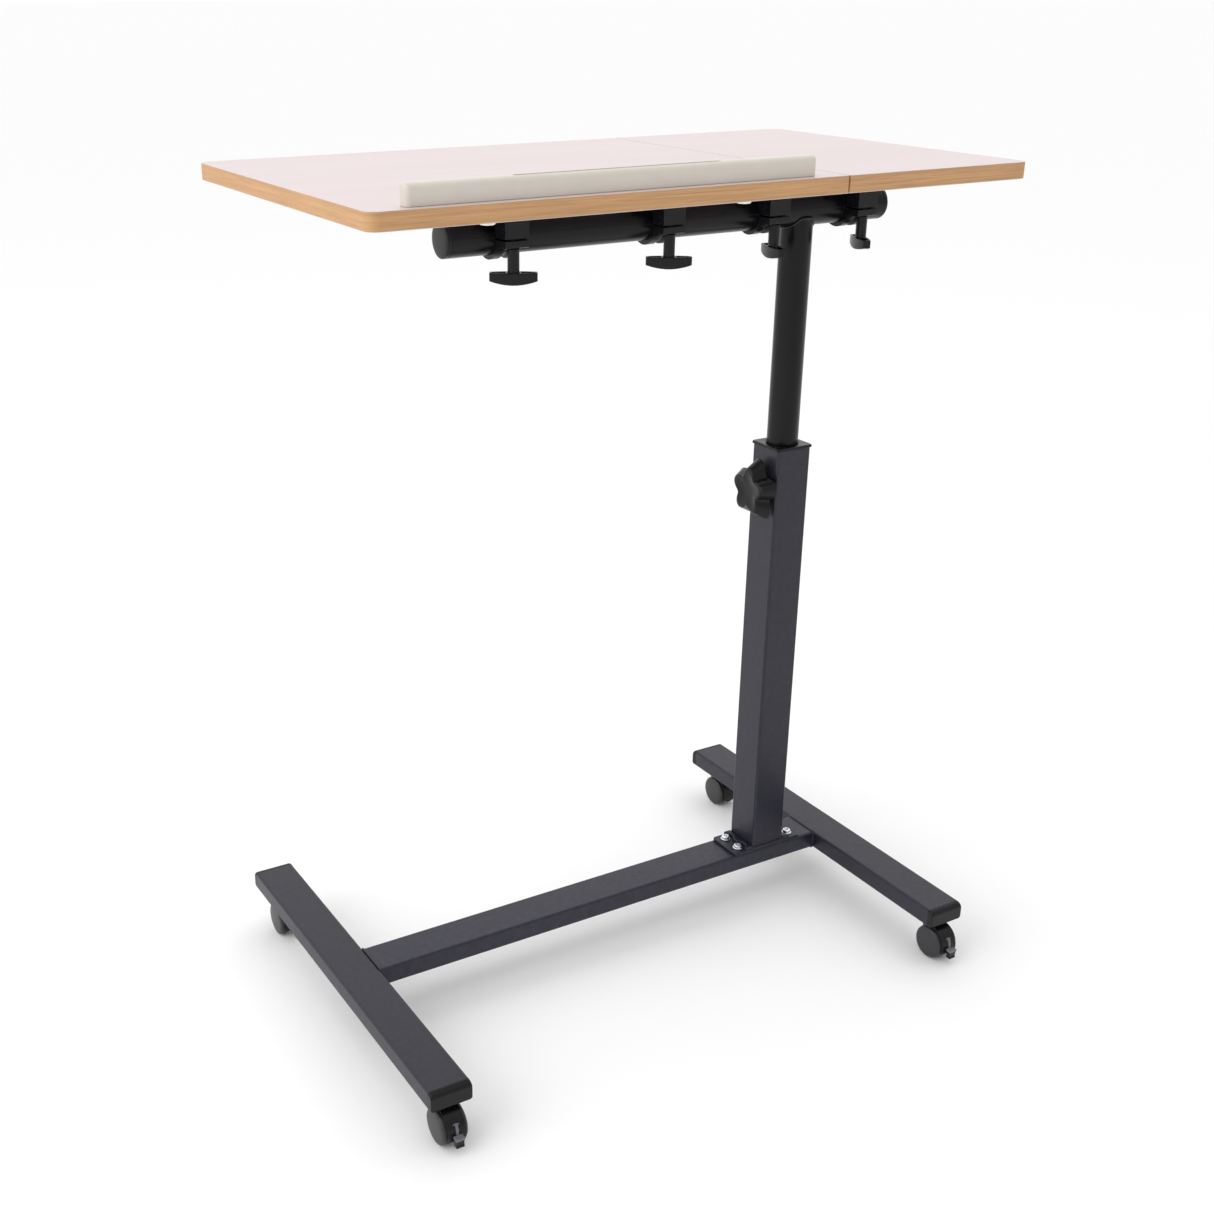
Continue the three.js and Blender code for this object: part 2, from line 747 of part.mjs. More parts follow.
function leverShape() {
  const [pivotY, pivotZ] = pivotCentre();
  const { arm, armEnd, pivotAngle, width, trunnion, cheekHalf, pedal } = lever;
  const pedalHeight = pedal.top - pedal.bottom;
  const pedalOutline = rectangle([-pedal.halfWidth, pedal.halfWidth], [0, pedalHeight], 1.5);
  const pad = extrude(pedalOutline, 'y', pedal.near, pedal.far, { bevel: 0.8 });
  return join(
    aroundAxle(arcBand(arm[0], arm[1], pivotAngle, armEnd), width / 2, 4),
    rod(1.6, 'x', -width / 2, width / 2, 8).translate(0, pivotY, pivotZ),
    rod(trunnion, 'x', 0.5 - cheekHalf, cheekHalf - 0.5, 8).translate(0, pivotY, pivotZ),
    pad.translate(0, 0, pedal.bottom),
  );
}

// One half of a twin wheel, from its inner face out: a tread, a groove and a domed cover.
function wheelShape(axis) {
  const { wheelRadius, wheelInner, wheelWidth, axleRadius, axleHalf } = castor;
  const inner = wheelInner;
  const outer = wheelInner + wheelWidth;
  const bore = axleRadius + 0.4;
  const boreEnd = axleHalf + GAP;
  const profile = [
    [0, boreEnd],
    [bore, boreEnd],
    [bore, inner],
    [wheelRadius, inner],
    [wheelRadius, inner + 4.6],
    [wheelRadius - 1, inner + 5.2],
    [wheelRadius - 0.6, inner + 5.8],
    [wheelRadius - 5, outer],
    [0, outer],
  ];
  return turn(profile, axis, 20).translate(0, axleY, castor.axleZ);
}

function castors() {
  const { journal, axleZ, bossTop, axleRadius, axleHalf, collarRadius, stemRadius } = castor;
  const collarBottom = bossTop + GAP;
  const collarTop = rail.bottom - GAP;
  const stemTop = rail.top - rail.wall - 4;
  const shapes = {
    stem: turn(
      [[0, axleZ + 6], [journal, axleZ + 6], [journal, collarBottom], [collarRadius, collarBottom],
        [collarRadius, collarTop], [stemRadius, collarTop], [stemRadius, stemTop], [0, stemTop]],
      'z',
      16,
    ),
    axle: rod(axleRadius, 'x', -axleHalf, axleHalf, 12).translate(0, axleY, axleZ),
    left: wheelShape('-x'),
    right: wheelShape('x'),
    near: hoodShape(true),
    far: hoodShape(false),
    lever: leverShape(),
  };
  for (const [side, x] of [['left', foot.leftX], ['right', foot.rightX]]) {
    for (const [end, y] of [['near', -castor.stemY], ['far', castor.stemY]]) {
      const corner = new THREE.Group();
      corner.position.set(x, y, 0);
      table.add(corner);
      place(`castor_stem_${side}_${end}`, shapes.stem, steel, corner);
      place(`castor_hood_${side}_${end}`, shapes[end], blackPlastic, corner);
      place(`castor_axle_${side}_${end}`, shapes.axle, steel, corner);
      place(`castor_wheel_${side}_${end}_left`, shapes.left, tread, corner);
      place(`castor_wheel_${side}_${end}_right`, shapes.right, tread, corner);
      if (end === 'near') {
        place(`brake_lever_${side}`, shapes.lever, greyPlastic, corner);
      }
    }
  }
}

panels();
stopFixings();
crossbarPieces();
clampsAndScrews();
postPieces();
columnPieces();
knobPieces();
basePieces();
castors();

const root = new THREE.Group();
root.add(table);

export default root;
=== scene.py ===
"""The looks of a mobile overbed table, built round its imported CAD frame. Metres, +Z up."""

import math

import bmesh
import bpy
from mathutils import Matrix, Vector


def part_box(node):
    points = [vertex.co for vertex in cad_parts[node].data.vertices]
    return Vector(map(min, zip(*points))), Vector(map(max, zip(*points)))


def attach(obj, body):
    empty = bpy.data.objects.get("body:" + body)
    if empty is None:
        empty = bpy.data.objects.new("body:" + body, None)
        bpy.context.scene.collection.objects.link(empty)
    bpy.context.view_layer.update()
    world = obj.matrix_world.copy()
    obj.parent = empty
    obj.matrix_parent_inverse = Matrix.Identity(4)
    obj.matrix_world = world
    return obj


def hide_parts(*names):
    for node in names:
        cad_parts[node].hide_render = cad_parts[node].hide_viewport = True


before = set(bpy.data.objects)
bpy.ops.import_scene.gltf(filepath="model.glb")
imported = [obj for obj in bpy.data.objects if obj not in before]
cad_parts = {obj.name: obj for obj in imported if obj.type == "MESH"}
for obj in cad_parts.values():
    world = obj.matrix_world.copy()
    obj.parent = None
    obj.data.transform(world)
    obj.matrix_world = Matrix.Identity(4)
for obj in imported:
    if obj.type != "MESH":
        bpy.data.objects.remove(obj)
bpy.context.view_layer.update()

MM = 0.001
SCREW_HOLE = 4.4 * MM  # radius of the holes for the 8 mm wing screws and knob stud
SIDES = ("left", "right")
ENDS = ("near", "far")


# ---------------- places in the frame

def span(node, axis):
    """Where a CAD node starts and ends along an axis: 0 is X, 1 is Y and 2 is Z."""
    low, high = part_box(node)
    return low[axis], high[axis]


def half_size(node, axis):
    low, high = span(node, axis)
    return (high - low) / 2


def middle(node):
    low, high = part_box(node)
    return (low + high) / 2


# ---------------- outlines

def arc(centre, radius, start, end, steps):
    """Points along an arc in a plane, between two angles in degrees."""
    points = []
    for step in range(steps + 1):
        angle = math.radians(start + (end - start) * step / steps)
        points.append((centre[0] + radius * math.cos(angle), centre[1] + radius * math.sin(angle)))
    return points


def rectangle(us, vs, radii, steps=6):
    """A rectangle with round corners: one radius, or one for each corner in turn."""
    (u0, u1), (v0, v1) = us, vs
    r0, r1, r2, r3 = radii if isinstance(radii, (tuple, list)) else (radii,) * 4
    return (
        arc((u0 + r0, v0 + r0), r0, 180, 270, steps)
        + arc((u1 - r1, v0 + r1), r1, 270, 360, steps)
        + arc((u1 - r2, v1 - r2), r2, 0, 90, steps)
        + arc((u0 + r3, v1 - r3), r3, 90, 180, steps)
    )


def inset(limits, amount):
    return limits[0] + amount, limits[1] - amount


def rounded_polygon(corners, steps=4):
    """An outline with its corners, given as (u, v, radius), eased off."""
    outline = []
    for index, (u, v, radius) in enumerate(corners):
        here = Vector((u, v))
        if radius == 0:
            outline.append((u, v))
            continue
        before = (Vector(corners[index - 1][:2]) - here).normalized() * radius
        after = (Vector(corners[(index + 1) % len(corners)][:2]) - here).normalized() * radius
        for step in range(steps + 1):
            t = step / steps
            point = here + before * (1 - t) ** 2 + after * t ** 2
            outline.append((point.x, point.y))
    return outline


# ---------------- skins

def lay(axis, u, v, along):
    """A point from its place across an axis and its place along it."""
    return {"x": (along, u, v), "y": (u, along, v), "z": (u, v, along)}[axis]


def loft(rings, closed=False):
    """A skin over rings of equally many points, capped at its ends or closed on itself."""
    skin = bmesh.new()
    rows = [[skin.verts.new(point) for point in ring] for ring in rings]
    pairs = list(zip(rows, rows[1:]))
    if closed:
        pairs.append((rows[-1], rows[0]))
    for row, following in pairs:
        for index in range(len(row)):
            after = (index + 1) % len(row)
            skin.faces.new((row[index], row[after], following[after], following[index]))
    if not closed:
        skin.faces.new(rows[0][::-1])
        skin.faces.new(rows[-1])
    return skin


def stack(axis, levels, closed=False):
    """A loft over (outline, place along the axis) levels."""
    rings = [[lay(axis, u, v, along) for u, v in outline] for outline, along in levels]
    return loft(rings, closed)


def prism(outline, axis, start, end):
    return stack(axis, [(outline, start), (outline, end)])


def turn(profile, axis, centre, segments=64):
    """Turns (radius, along) points about an axis. Points of no radius become its poles."""
    along_index = "xyz".index(axis)
    first, second = [index for index in range(3) if index != along_index]
    skin = bmesh.new()
    rows = []
    for radius, along in profile:
        count = segments if radius > 0 else 1
        row = []
        for index in range(count):
            angle = 2 * math.pi * index / segments
            u = centre[first] + radius * math.cos(angle)
            v = centre[second] + radius * math.sin(angle)
            row.append(skin.verts.new(lay(axis, u, v, centre[along_index] + along)))
        rows.append(row)
    for low, high in zip(rows, rows[1:]):
        for index in range(segments):
            after = (index + 1) % segments
            corners = [
                low[index % len(low)],
                low[after % len(low)],
                high[after % len(high)],
                high[index % len(high)],
            ]
            corners = list(dict.fromkeys(corners))
            if len(corners) > 2:
                skin.faces.new(corners)
    return skin


def ease(skin, width, segments=2, angle=40, wanted=None):
    """Rounds the edges that are sharper than an angle in degrees."""
    bmesh.ops.recalc_face_normals(skin, faces=skin.faces)
    sharp = [
        edge
        for edge in skin.edges
        if edge.is_manifold
        and edge.calc_face_angle(0) > math.radians(angle)
        and (wanted is None or wanted(edge))
    ]
    bmesh.ops.bevel(
        skin, geom=sharp, offset=width, segments=segments, profile=0.5, affect="EDGES",
        clamp_overlap=True,
    )
    return skin


def scratch_object(skin):
    bmesh.ops.recalc_face_normals(skin, faces=skin.faces)
    mesh = bpy.data.meshes.new("scratch")
    skin.to_mesh(mesh)
    skin.free()
    item = bpy.data.objects.new("scratch", mesh)
    bpy.context.scene.collection.objects.link(item)
    return item


def applied(item):
    """The skin of an object with its modifiers applied; the object itself is removed."""
    graph = bpy.context.evaluated_depsgraph_get()
    skin = bmesh.new()
    skin.from_object(item, graph)
    mesh = item.data
    bpy.data.objects.remove(item)
    bpy.data.meshes.remove(mesh)
    return skin


def combine(operation, skin, *tools):
    """Joins ("UNION") or cuts ("DIFFERENCE") a skin with each tool in turn."""
    for tool in tools:
        item = scratch_object(skin)
        cutter = scratch_object(tool)
        boolean = item.modifiers.new("cut", "BOOLEAN")
        boolean.operation = operation
        boolean.solver = "EXACT"
        boolean.object = cutter
        skin = applied(item)
        mesh = cutter.data
        bpy.data.objects.remove(cutter)
        bpy.data.meshes.remove(mesh)
    return skin


def drilled(skin, axis, radius, *holes):
    """A skin with round holes along an axis, each given as (centre, start, end)."""
    tools = []
    for centre, start, end in holes:
        place = centre.copy()
        place["xyz".index(axis)] = 0
        profile = [(0, start), (radius, start), (radius, end), (0, end)]
        tools.append(turn(profile, axis, place, 40))
    return combine("DIFFERENCE", skin, *tools)


def moulded(skin, voxel, rounds):
    """Softens every edge of a skin, as a moulding's edges are."""
    item = scratch_object(skin)
    remesh = item.modifiers.new("remesh", "REMESH")
    remesh.mode = "VOXEL"
    remesh.voxel_size = voxel
    smooth = item.modifiers.new("smooth", "SMOOTH")
    smooth.factor = 0.5
    smooth.iterations = rounds
    return applied(item)


def piece(name, skin, finish, body, replaces=(), smooth=38):
    """Makes a named piece of the table from a skin, and gives it its finish and its body."""
    bmesh.ops.recalc_face_normals(skin, faces=skin.faces)
    mesh = bpy.data.meshes.new(name)
    skin.to_mesh(mesh)
    skin.free()
    mesh.polygons.foreach_set("use_smooth", [True] * len(mesh.polygons))
    mesh.set_sharp_from_angle(angle=math.radians(smooth))
    mesh.materials.append(finish.material)
    item = bpy.data.objects.new(name, mesh)
    bpy.context.scene.collection.objects.link(item)
    shading = item.modifiers.new("flat faces stay flat", "WEIGHTED_NORMAL")
    shading.keep_sharp = True
    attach(item, body)
    if replaces:
        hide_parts(*replaces)
    return item


# ---------------- finishes

class Finish:
    """A Principled material for one of the record's slots, with short calls for its nodes."""

    def __init__(self, name, slot, colour, roughness, **sockets):
        self.slot = slot
        self.material = bpy.data.materials.new(name)
        self.material.use_nodes = True
        self.tree = self.material.node_tree
        self.shader = self.tree.nodes["Principled BSDF"]
        self.shader.inputs["Base Color"].default_value = (*colour, 1)
        self.shader.inputs["Roughness"].default_value = roughness
        for socket, value in sockets.items():
            self.shader.inputs[socket.replace("_", " ")].default_value = value
        self.place = self.tree.nodes.new("ShaderNodeTexCoord").outputs["Object"]

    def link(self, source, target):
        self.tree.links.new(source, target)

    def noise(self, scale, stretch=(1, 1, 1), detail=3, distortion=0):
        mapping = self.tree.nodes.new("ShaderNodeMapping")
        mapping.inputs["Scale"].default_value = stretch
        self.link(self.place, mapping.inputs["Vector"])
        texture = self.tree.nodes.new("ShaderNodeTexNoise")
        texture.inputs["Scale"].default_value = scale
        texture.inputs["Detail"].default_value = detail
        texture.inputs["Distortion"].default_value = distortion
        self.link(mapping.outputs["Vector"], texture.inputs["Vector"])
        return texture.outputs[0]

    def ramp(self, factor, *stops):
        """A colour for a factor, from (place, colour) stops."""
        node = self.tree.nodes.new("ShaderNodeValToRGB")
        elements = node.color_ramp.elements
        while len(elements) < len(stops):
            elements.new(0.5)
        for element, (place, colour) in zip(elements, stops):
            element.position = place
            element.color = (*colour, 1)
        self.link(factor, node.inputs["Fac"])
        return node.outputs["Color"]

    def between(self, factor, low, high, start=0.3, end=0.7):
        """A number from low to high as the factor goes from start to end."""
        node = self.tree.nodes.new("ShaderNodeMapRange")
        limits = {"From Min": start, "From Max": end, "To Min": low, "To Max": high}
        for socket, value in limits.items():
            node.inputs[socket].default_value = value
        self.link(factor, node.inputs["Value"])
        return node.outputs["Result"]

    def mix(self, factor, first, second):
        """The first colour where the factor is 0, the second where it is 1."""
        node = self.colour_pair("MIX", first, second)
        self.link(factor, node.inputs[0])
        return node.outputs[2]

    def multiply(self, first, second):
        node = self.colour_pair("MULTIPLY", first, second)
        node.inputs[0].default_value = 1.0
        return node.outputs[2]

    def colour_pair(self, blend, first, second):
        node = self.tree.nodes.new("ShaderNodeMix")
        node.data_type = "RGBA"
        node.blend_type = blend
        self.link(first, node.inputs[6])
        self.link(second, node.inputs[7])
        return node

    def edges(self, start, end):
        """How far a point lies on an outward edge, from 0 to 1."""
        geometry = self.tree.nodes.new("ShaderNodeNewGeometry")
        return self.between(geometry.outputs["Pointiness"], 0, 1, start, end)

    def bump(self, height, distance, strength=1.0, below=None):
        node = self.tree.nodes.new("ShaderNodeBump")
        node.inputs["Strength"].default_value = strength
        node.inputs["Distance"].default_value = distance
        self.link(height, node.inputs["Height"])
        if below is not None:
            self.link(below, node.inputs["Normal"])
        return node.outputs["Normal"]

    def colour(self, source):
        self.link(source, self.shader.inputs["Base Color"])

    def roughness(self, source):
        self.link(source, self.shader.inputs["Roughness"])

    def normal(self, source):
        self.link(source, self.shader.inputs["Normal"])


def tinted(colour, share):
    return tuple(min(1.0, channel * share) for channel in colour)


def powder_coat(name, black, roughness, unevenness, specular, peel_depth, wear):
    """Black powder coat: fine orange peel, faint mottling and edges rubbed lighter."""
    finish = Finish(name, "powder_coat", black, roughness, Specular_IOR_Level=specular)
    mottle = finish.noise(160, detail=5)
    base = finish.ramp(mottle, (0.3, tinted(black, 0.93)), (0.7, tinted(black, 1.08)))
    worn = finish.ramp(mottle, (0.35, tinted(black, 1.3)), (0.7, tinted(black, 2.6)))
    finish.colour(finish.mix(finish.edges(*wear), base, worn))
    gloss = finish.noise(90, detail=4)
    finish.roughness(finish.between(gloss, roughness - unevenness, roughness + unevenness))
    peel = finish.bump(finish.noise(1400, detail=2), 0.5 * peel_depth, 0.7)
    finish.normal(finish.bump(finish.noise(330, detail=2), peel_depth, 0.6, below=peel))
    return finish


def moulded_plastic(name, slot, colour, roughness, specular=0.5, mottling=0.07):
    """Injection-moulded plastic: fine spark-eroded grain and slightly uneven gloss."""
    finish = Finish(name, slot, colour, roughness, Specular_IOR_Level=specular)
    mottle = finish.noise(55, detail=4)
    base = finish.ramp(
        mottle, (0.3, tinted(colour, 1 - mottling)), (0.7, tinted(colour, 1 + mottling))
    )
    rubbed = finish.ramp(mottle, (0.3, tinted(colour, 1.25)), (0.7, tinted(colour, 1.7)))
    finish.colour(finish.mix(finish.edges(0.58, 0.72), base, rubbed))
    gloss = finish.noise(120, detail=3)
    finish.roughness(finish.between(gloss, roughness - 0.008, roughness + 0.008))
    finish.normal(finish.bump(finish.noise(2200, detail=2), 0.000008, 0.7))
    return finish


def metal(name, slot, colour, roughness, streak):
    """Plated or turned metal, with fine streaks along one direction."""
    finish = Finish(name, slot, colour, roughness, Metallic=1.0)
    blotches = finish.noise(150, detail=4)
    finish.colour(finish.ramp(blotches, (0.3, tinted(colour, 0.86)), (0.7, tinted(colour, 1.12))))
    finish.roughness(finish.between(finish.noise(300, detail=3), roughness - 0.07, roughness + 0.1))
    finish.normal(finish.bump(finish.noise(900, streak, detail=2), 0.00002, 0.6))
    return finish


def laminate():
    """A pale pinkish-white laminate with a faint straight grain along X."""
    pale = (0.67, 0.555, 0.55)
    finish = Finish("laminate", "laminate", pale, 0.34, Coat_Weight=0.15, Coat_Roughness=0.25)
    grain = finish.noise(9, (0.45, 14, 14), detail=6, distortion=0.6)
    broad = finish.noise(2.4, (0.5, 3.5, 3.5), detail=3, distortion=0.8)
    fine = finish.ramp(grain, (0.32, tinted(pale, 0.93)), (0.62, tinted(pale, 1.02)))
    wide = finish.ramp(broad, (0.3, (0.95, 0.94, 0.945)), (0.7, (1.0, 1.0, 1.0)))
    finish.colour(finish.multiply(fine, wide))
    finish.roughness(finish.between(grain, 0.30, 0.40))
    finish.normal(finish.bump(grain, 0.00004, 0.5))
    return finish


def edge_band():
    """A beech-coloured edge band, its fine grain running along the edge all the way round."""
    beech = (0.52, 0.29, 0.13)
    finish = Finish("edge_band", "edge_band", beech, 0.5)
    grain = finish.noise(1, (9, 9, 620), detail=6, distortion=1.2)
    pores = finish.noise(1, (60, 60, 2600), detail=4)
    base = finish.ramp(
        grain,
        (0.25, tinted(beech, 0.78)),
        (0.45, tinted(beech, 0.97)),
        (0.60, tinted(beech, 1.10)),
        (0.80, tinted(beech, 1.28)),
    )
    dark = finish.ramp(grain, (0.3, tinted(beech, 0.55)), (0.7, tinted(beech, 0.72)))
    flecks = finish.between(pores, 0, 0.7, 0.60, 0.74)
    finish.colour(finish.mix(flecks, base, dark))
    finish.roughness(finish.between(pores, 0.42, 0.58))
    finish.normal(finish.bump(pores, 0.00005, 0.5))
    return finish


POWDER = powder_coat(
    "powder_coat", (0.0090, 0.0088, 0.0175), roughness=0.40, unevenness=0.02, specular=0.42,
    peel_depth=0.00005, wear=(0.53, 0.64),
)
SMOOTH = powder_coat(
    "smooth_coat", (0.0035, 0.0035, 0.0045), roughness=0.27, unevenness=0.003, specular=0.22,
    peel_depth=0.000004, wear=(0.62, 0.75),
)
BLACK = moulded_plastic("black_plastic", "black_plastic", (0.0060, 0.0058, 0.0072), 0.28, 0.25)
GREY = moulded_plastic("grey_plastic", "grey_plastic", (0.13, 0.135, 0.155), 0.40)
STOP = moulded_plastic("stop_plastic", "stop_plastic", (0.66, 0.61, 0.545), 0.36, mottling=0.02)
WHITE = moulded_plastic("white_plastic", "white_plastic", (0.86, 0.86, 0.84), 0.35, mottling=0.02)
WHEEL = moulded_plastic("wheel_plastic", "wheel_plastic", (0.020, 0.020, 0.023), 0.38)
ZINC = metal("zinc_plate", "zinc_plate", (0.80, 0.82, 0.86), 0.28, (1, 1, 3))
STEEL = metal("plain_steel", "plain_steel", (0.48, 0.49, 0.51), 0.34, (1, 1, 4))
LAMINATE = laminate()
BAND = edge_band()


# ---------------- panels and book stop

PANEL_CORNER = 11 * MM
SEAM_CORNER = 1.5 * MM
SHEET = 0.4 * MM  # thickness of the laminate sheet on the top face


def panel(side, body, outer_first):
    """One tilting panel: a board with a laminate sheet over its edge band."""
    band = f"{side}_edge_band"
    core = f"{side}_panel"
    us, vs = span(band, 0), span(band, 1)
    bottom, top = span(core, 2)
    if outer_first:
        radii = [PANEL_CORNER, SEAM_CORNER, SEAM_CORNER, PANEL_CORNER]
    else:
        radii = [SEAM_CORNER, PANEL_CORNER, PANEL_CORNER, SEAM_CORNER]

    def outline(amount):
        eased = [max(radius - amount, 0.2 * MM) for radius in radii]
        return rectangle(inset(us, amount), inset(vs, amount), eased, 10)

    core_inset = 1.3 * MM
    piece(
        f"{side}_panel_board",
        stack("z", [
            (outline(0.35 * MM), bottom),
            (outline(0.1 * MM), bottom + 0.25 * MM),
            (outline(0.1 * MM), bottom + 0.5 * MM),
            (outline(core_inset), bottom + 0.5 * MM),
            (outline(core_inset), top - SHEET),
            (outline(0.05 * MM), top - SHEET),
            (outline(0.05 * MM), top - 0.25 * MM),
            (outline(0.12 * MM), top - 0.08 * MM),
            (outline(0.3 * MM), top),
        ]),
        LAMINATE, body, [core], smooth=50,
    )
    inner = 1.0 * MM
    low, high = bottom + 0.52 * MM, top - SHEET - 0.02 * MM
    piece(
        f"{side}_panel_band",
        stack("z", [
            (outline(inner), low),
            (outline(0.12 * MM), low),
            (outline(0), low + 0.15 * MM),
            (outline(0), high - 0.15 * MM),
            (outline(0.12 * MM), high),
            (outline(inner), high),
        ], closed=True),
        BAND, body, [band], smooth=50,
    )


def book_stop():
    """The bar along the near edge: soft outer edges and a slot to stand a card or tablet in."""
    us, vs = span("book_stop", 0), span("book_stop", 1)
    us = (us[0] + 4.5 * MM, us[1])
    bottom, top = span("book_stop", 2)
    corner = 5 * MM
    near_edge, far_edge = 5 * MM, 1.5 * MM
    slot_us = (us[0] + 101.5 * MM, us[1] - 102.5 * MM)
    slot_vs = (vs[0] + 5.4 * MM, vs[0] + 11 * MM)
    floor = top - 9 * MM

    def plan(amount, near=None):
        depths = (vs[0] + (amount if near is None else near), vs[1] - amount)
        return rectangle(inset(us, amount), depths, corner - amount, 10)

    def slot(amount):
        return rectangle(inset(slot_us, amount), inset(slot_vs, amount), 1.6 * MM - amount, 10)

    levels = [(plan(0.5 * MM), bottom), (plan(0), bottom + 0.4 * MM)]
    steps = 12
    for step in range(steps + 1):
        angle = math.radians(90 * step / steps)
        height = near_edge * math.sin(angle)
        share = max(0, height - (near_edge - far_edge)) / far_edge
        far = far_edge * (1 - math.sqrt(max(0, 1 - share ** 2)))
        levels.append((plan(far, near_edge * (1 - math.cos(angle))), top - near_edge + height))
    lip = 0.5 * MM
    levels += [
        (slot(-lip), top),
        (slot(-0.3 * lip), top - 0.15 * lip),
        (slot(0), top - lip),
        (slot(0.3 * MM), floor + 0.6 * MM),
        (slot(0.9 * MM), floor),
    ]
    piece("book_stop_bar", stack("z", levels), STOP, "main_top", ["book_stop"], smooth=50)

    for side in SIDES:
        node = f"stop_cap_{side}"
        low, high = span(node, 2)
        radius = half_size(node, 0)
        centre = middle(node)
        centre.z = 0
        profile = [
            (0, low),
            (radius - 2.2 * MM, low),
            (radius - 0.8 * MM, low + 0.3 * MM),
            (radius, low + 1.2 * MM),
            (radius, low + 2.7 * MM),
            (2 * MM, low + 2.7 * MM),
            (2 * MM, high),
            (0, high),
        ]
        piece(f"stop_fixing_{side}", turn(profile, "z", centre, 48), WHITE, "main_top", [node])


# ---------------- crossbar, clamps and screws

def crossbar():
    """The round tube under the panels and its two domed end caps."""
    start, end = span("crossbar_tube", 0)
    centre = middle("crossbar_tube")
    radius = half_size("crossbar_tube", 2)
    wall = 1.5 * MM
    axis_point = Vector((0, centre.y, centre.z))
    rim = 0.3 * MM
    profile = [
        (radius - wall, start), (radius - rim, start), (radius, start + rim),
        (radius, end - rim), (radius - rim, end), (radius - wall, end), (radius - wall, start),
    ]
    skin = turn(profile, "x", axis_point, 96)
    bmesh.ops.remove_doubles(skin, verts=skin.verts, dist=1e-6)
    piece("crossbar", skin, SMOOTH, "mast", ["crossbar_tube"])

    for side, sign in (("left", -1), ("right", 1)):
        node = f"crossbar_cap_{side}"
        low, high = span(node, 0)
        outer = low if side == "left" else high
        inner = high if side == "left" else low
        flange = outer - sign * 5.5 * MM
        profile = [
            (0, inner),
            (radius - wall - 0.4 * MM, inner),
            (radius - wall - 0.4 * MM, flange),
            (radius - 0.3 * MM, flange),
            (radius, flange + sign * 0.4 * MM),
            (radius, outer - sign * 2.2 * MM),
            (radius - 0.5 * MM, outer - sign * 1.1 * MM),
            (radius - 1.8 * MM, outer - sign * 0.5 * MM),
            (radius - 6 * MM, outer - sign * 0.15 * MM),
            (0, outer),
        ]
        piece(f"crossbar_end_{side}", turn(profile, "x", axis_point, 96), BLACK, "mast", [node])


def clamp_outline(wall, saddle):
    """A clamp seen along the crossbar: a split ring, its two lugs and the saddle above them."""
    bore = 17.8 * MM
    outer = bore + wall
    front = -36 * MM
    lug_bottom = -7.8 * MM
    slit_top, slit_bottom = 0.7 * MM, -0.8 * MM
    upper = math.degrees(math.asin(slit_top / bore))
    lower = math.degrees(math.asin(slit_bottom / bore))
    root = math.degrees(math.asin(lug_bottom / (bore + 4 * MM)))
    back = bore + 4 * MM
    ring = arc((0, 0), outer, 180 - root, 360, 36)
    ring[-1] = (back, 0)
    return (
        [(front, saddle - 2 * MM), (front, slit_top + 0.5 * MM), (front + 0.5 * MM, slit_top)]
        + arc((0, 0), bore, 180 - upper, -180 - lower, 60)
        + [(front + 0.5 * MM, slit_bottom), (front, slit_bottom - 0.5 * MM)]
        + [(front, lug_bottom + 1.5 * MM), (front + 0.45 * MM, lug_bottom + 0.45 * MM)]
        + [(front + 1.5 * MM, lug_bottom)]
        + ring
        + [(back, saddle - 2 * MM), (back - 0.6 * MM, saddle - 0.6 * MM), (back - 2 * MM, saddle)]
        + [(front + 2 * MM, saddle), (front + 0.6 * MM, saddle - 0.6 * MM)]
    )


def clamps():
    """Four split clamps. Each ring is two ribs with a thinner web between them."""
    bar = middle("crossbar_tube")
    for number in range(1, 5):
        node = f"tube_clamp_{number}"
        body = "main_top" if number < 3 else "side_top"
        start, end = span(node, 0)
        saddle = span(node, 2)[1] - bar.z
        rib = 9 * MM
        step = 0.7 * MM
        thick = clamp_outline(4 * MM, saddle)
        thin = clamp_outline(1.2 * MM, saddle)
        levels = [
            (thick, start),
            (thick, start + rib - step),
            (thin, start + rib + step),
            (thin, end - rib - step),
            (thick, end - rib + step),
            (thick, end),
        ]
        shifted = [([(bar.y + y, bar.z + z) for y, z in outline], x) for outline, x in levels]
        skin = stack("x", shifted)

        def on_rim(edge):
            ends = [vertex.co for vertex in edge.verts]
            at_end = all(min(abs(co.x - start), abs(co.x - end)) < 1e-6 for co in ends)
            clear = all(math.hypot(co.y - bar.y, co.z - bar.z) > 18.5 * MM for co in ends)
            return at_end and clear and not all(abs(co.z - bar.z) < 2 * MM for co in ends)

        skin = ease(skin, 0.9 * MM, 3, 60, on_rim)
        screw = f"wing_screw_{number}"
        hole = (middle(screw), bar.z - 10 * MM, span(screw, 2)[1] + 0.4 * MM)
        piece(f"clamp_{number}", drilled(skin, "z", SCREW_HOLE, hole), BLACK, body, [node])


def frame_turn(node):
    """The turn about Z that lays a wing handle's length along its CAD node's length."""
    vertices = [vertex.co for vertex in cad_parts[node].data.vertices]
    centre = middle(node)
    low = span(node, 2)[0]
    handle = [co - centre for co in vertices if co.z < low + 13 * MM]
    furthest = max(handle, key=lambda co: math.hypot(co.x, co.y))
    across = {
        (round(co.x, 5), round(co.y, 5))
        for co in handle
        if math.hypot(co.x, co.y) > 23 * MM and co.x * furthest.x + co.y * furthest.y > 0
    }
    mean = sum((Vector(place) for place in across), Vector((0, 0))) / len(across)
    return Vector((1, 0, 0)).rotation_difference(mean.to_3d().normalized()).to_matrix()


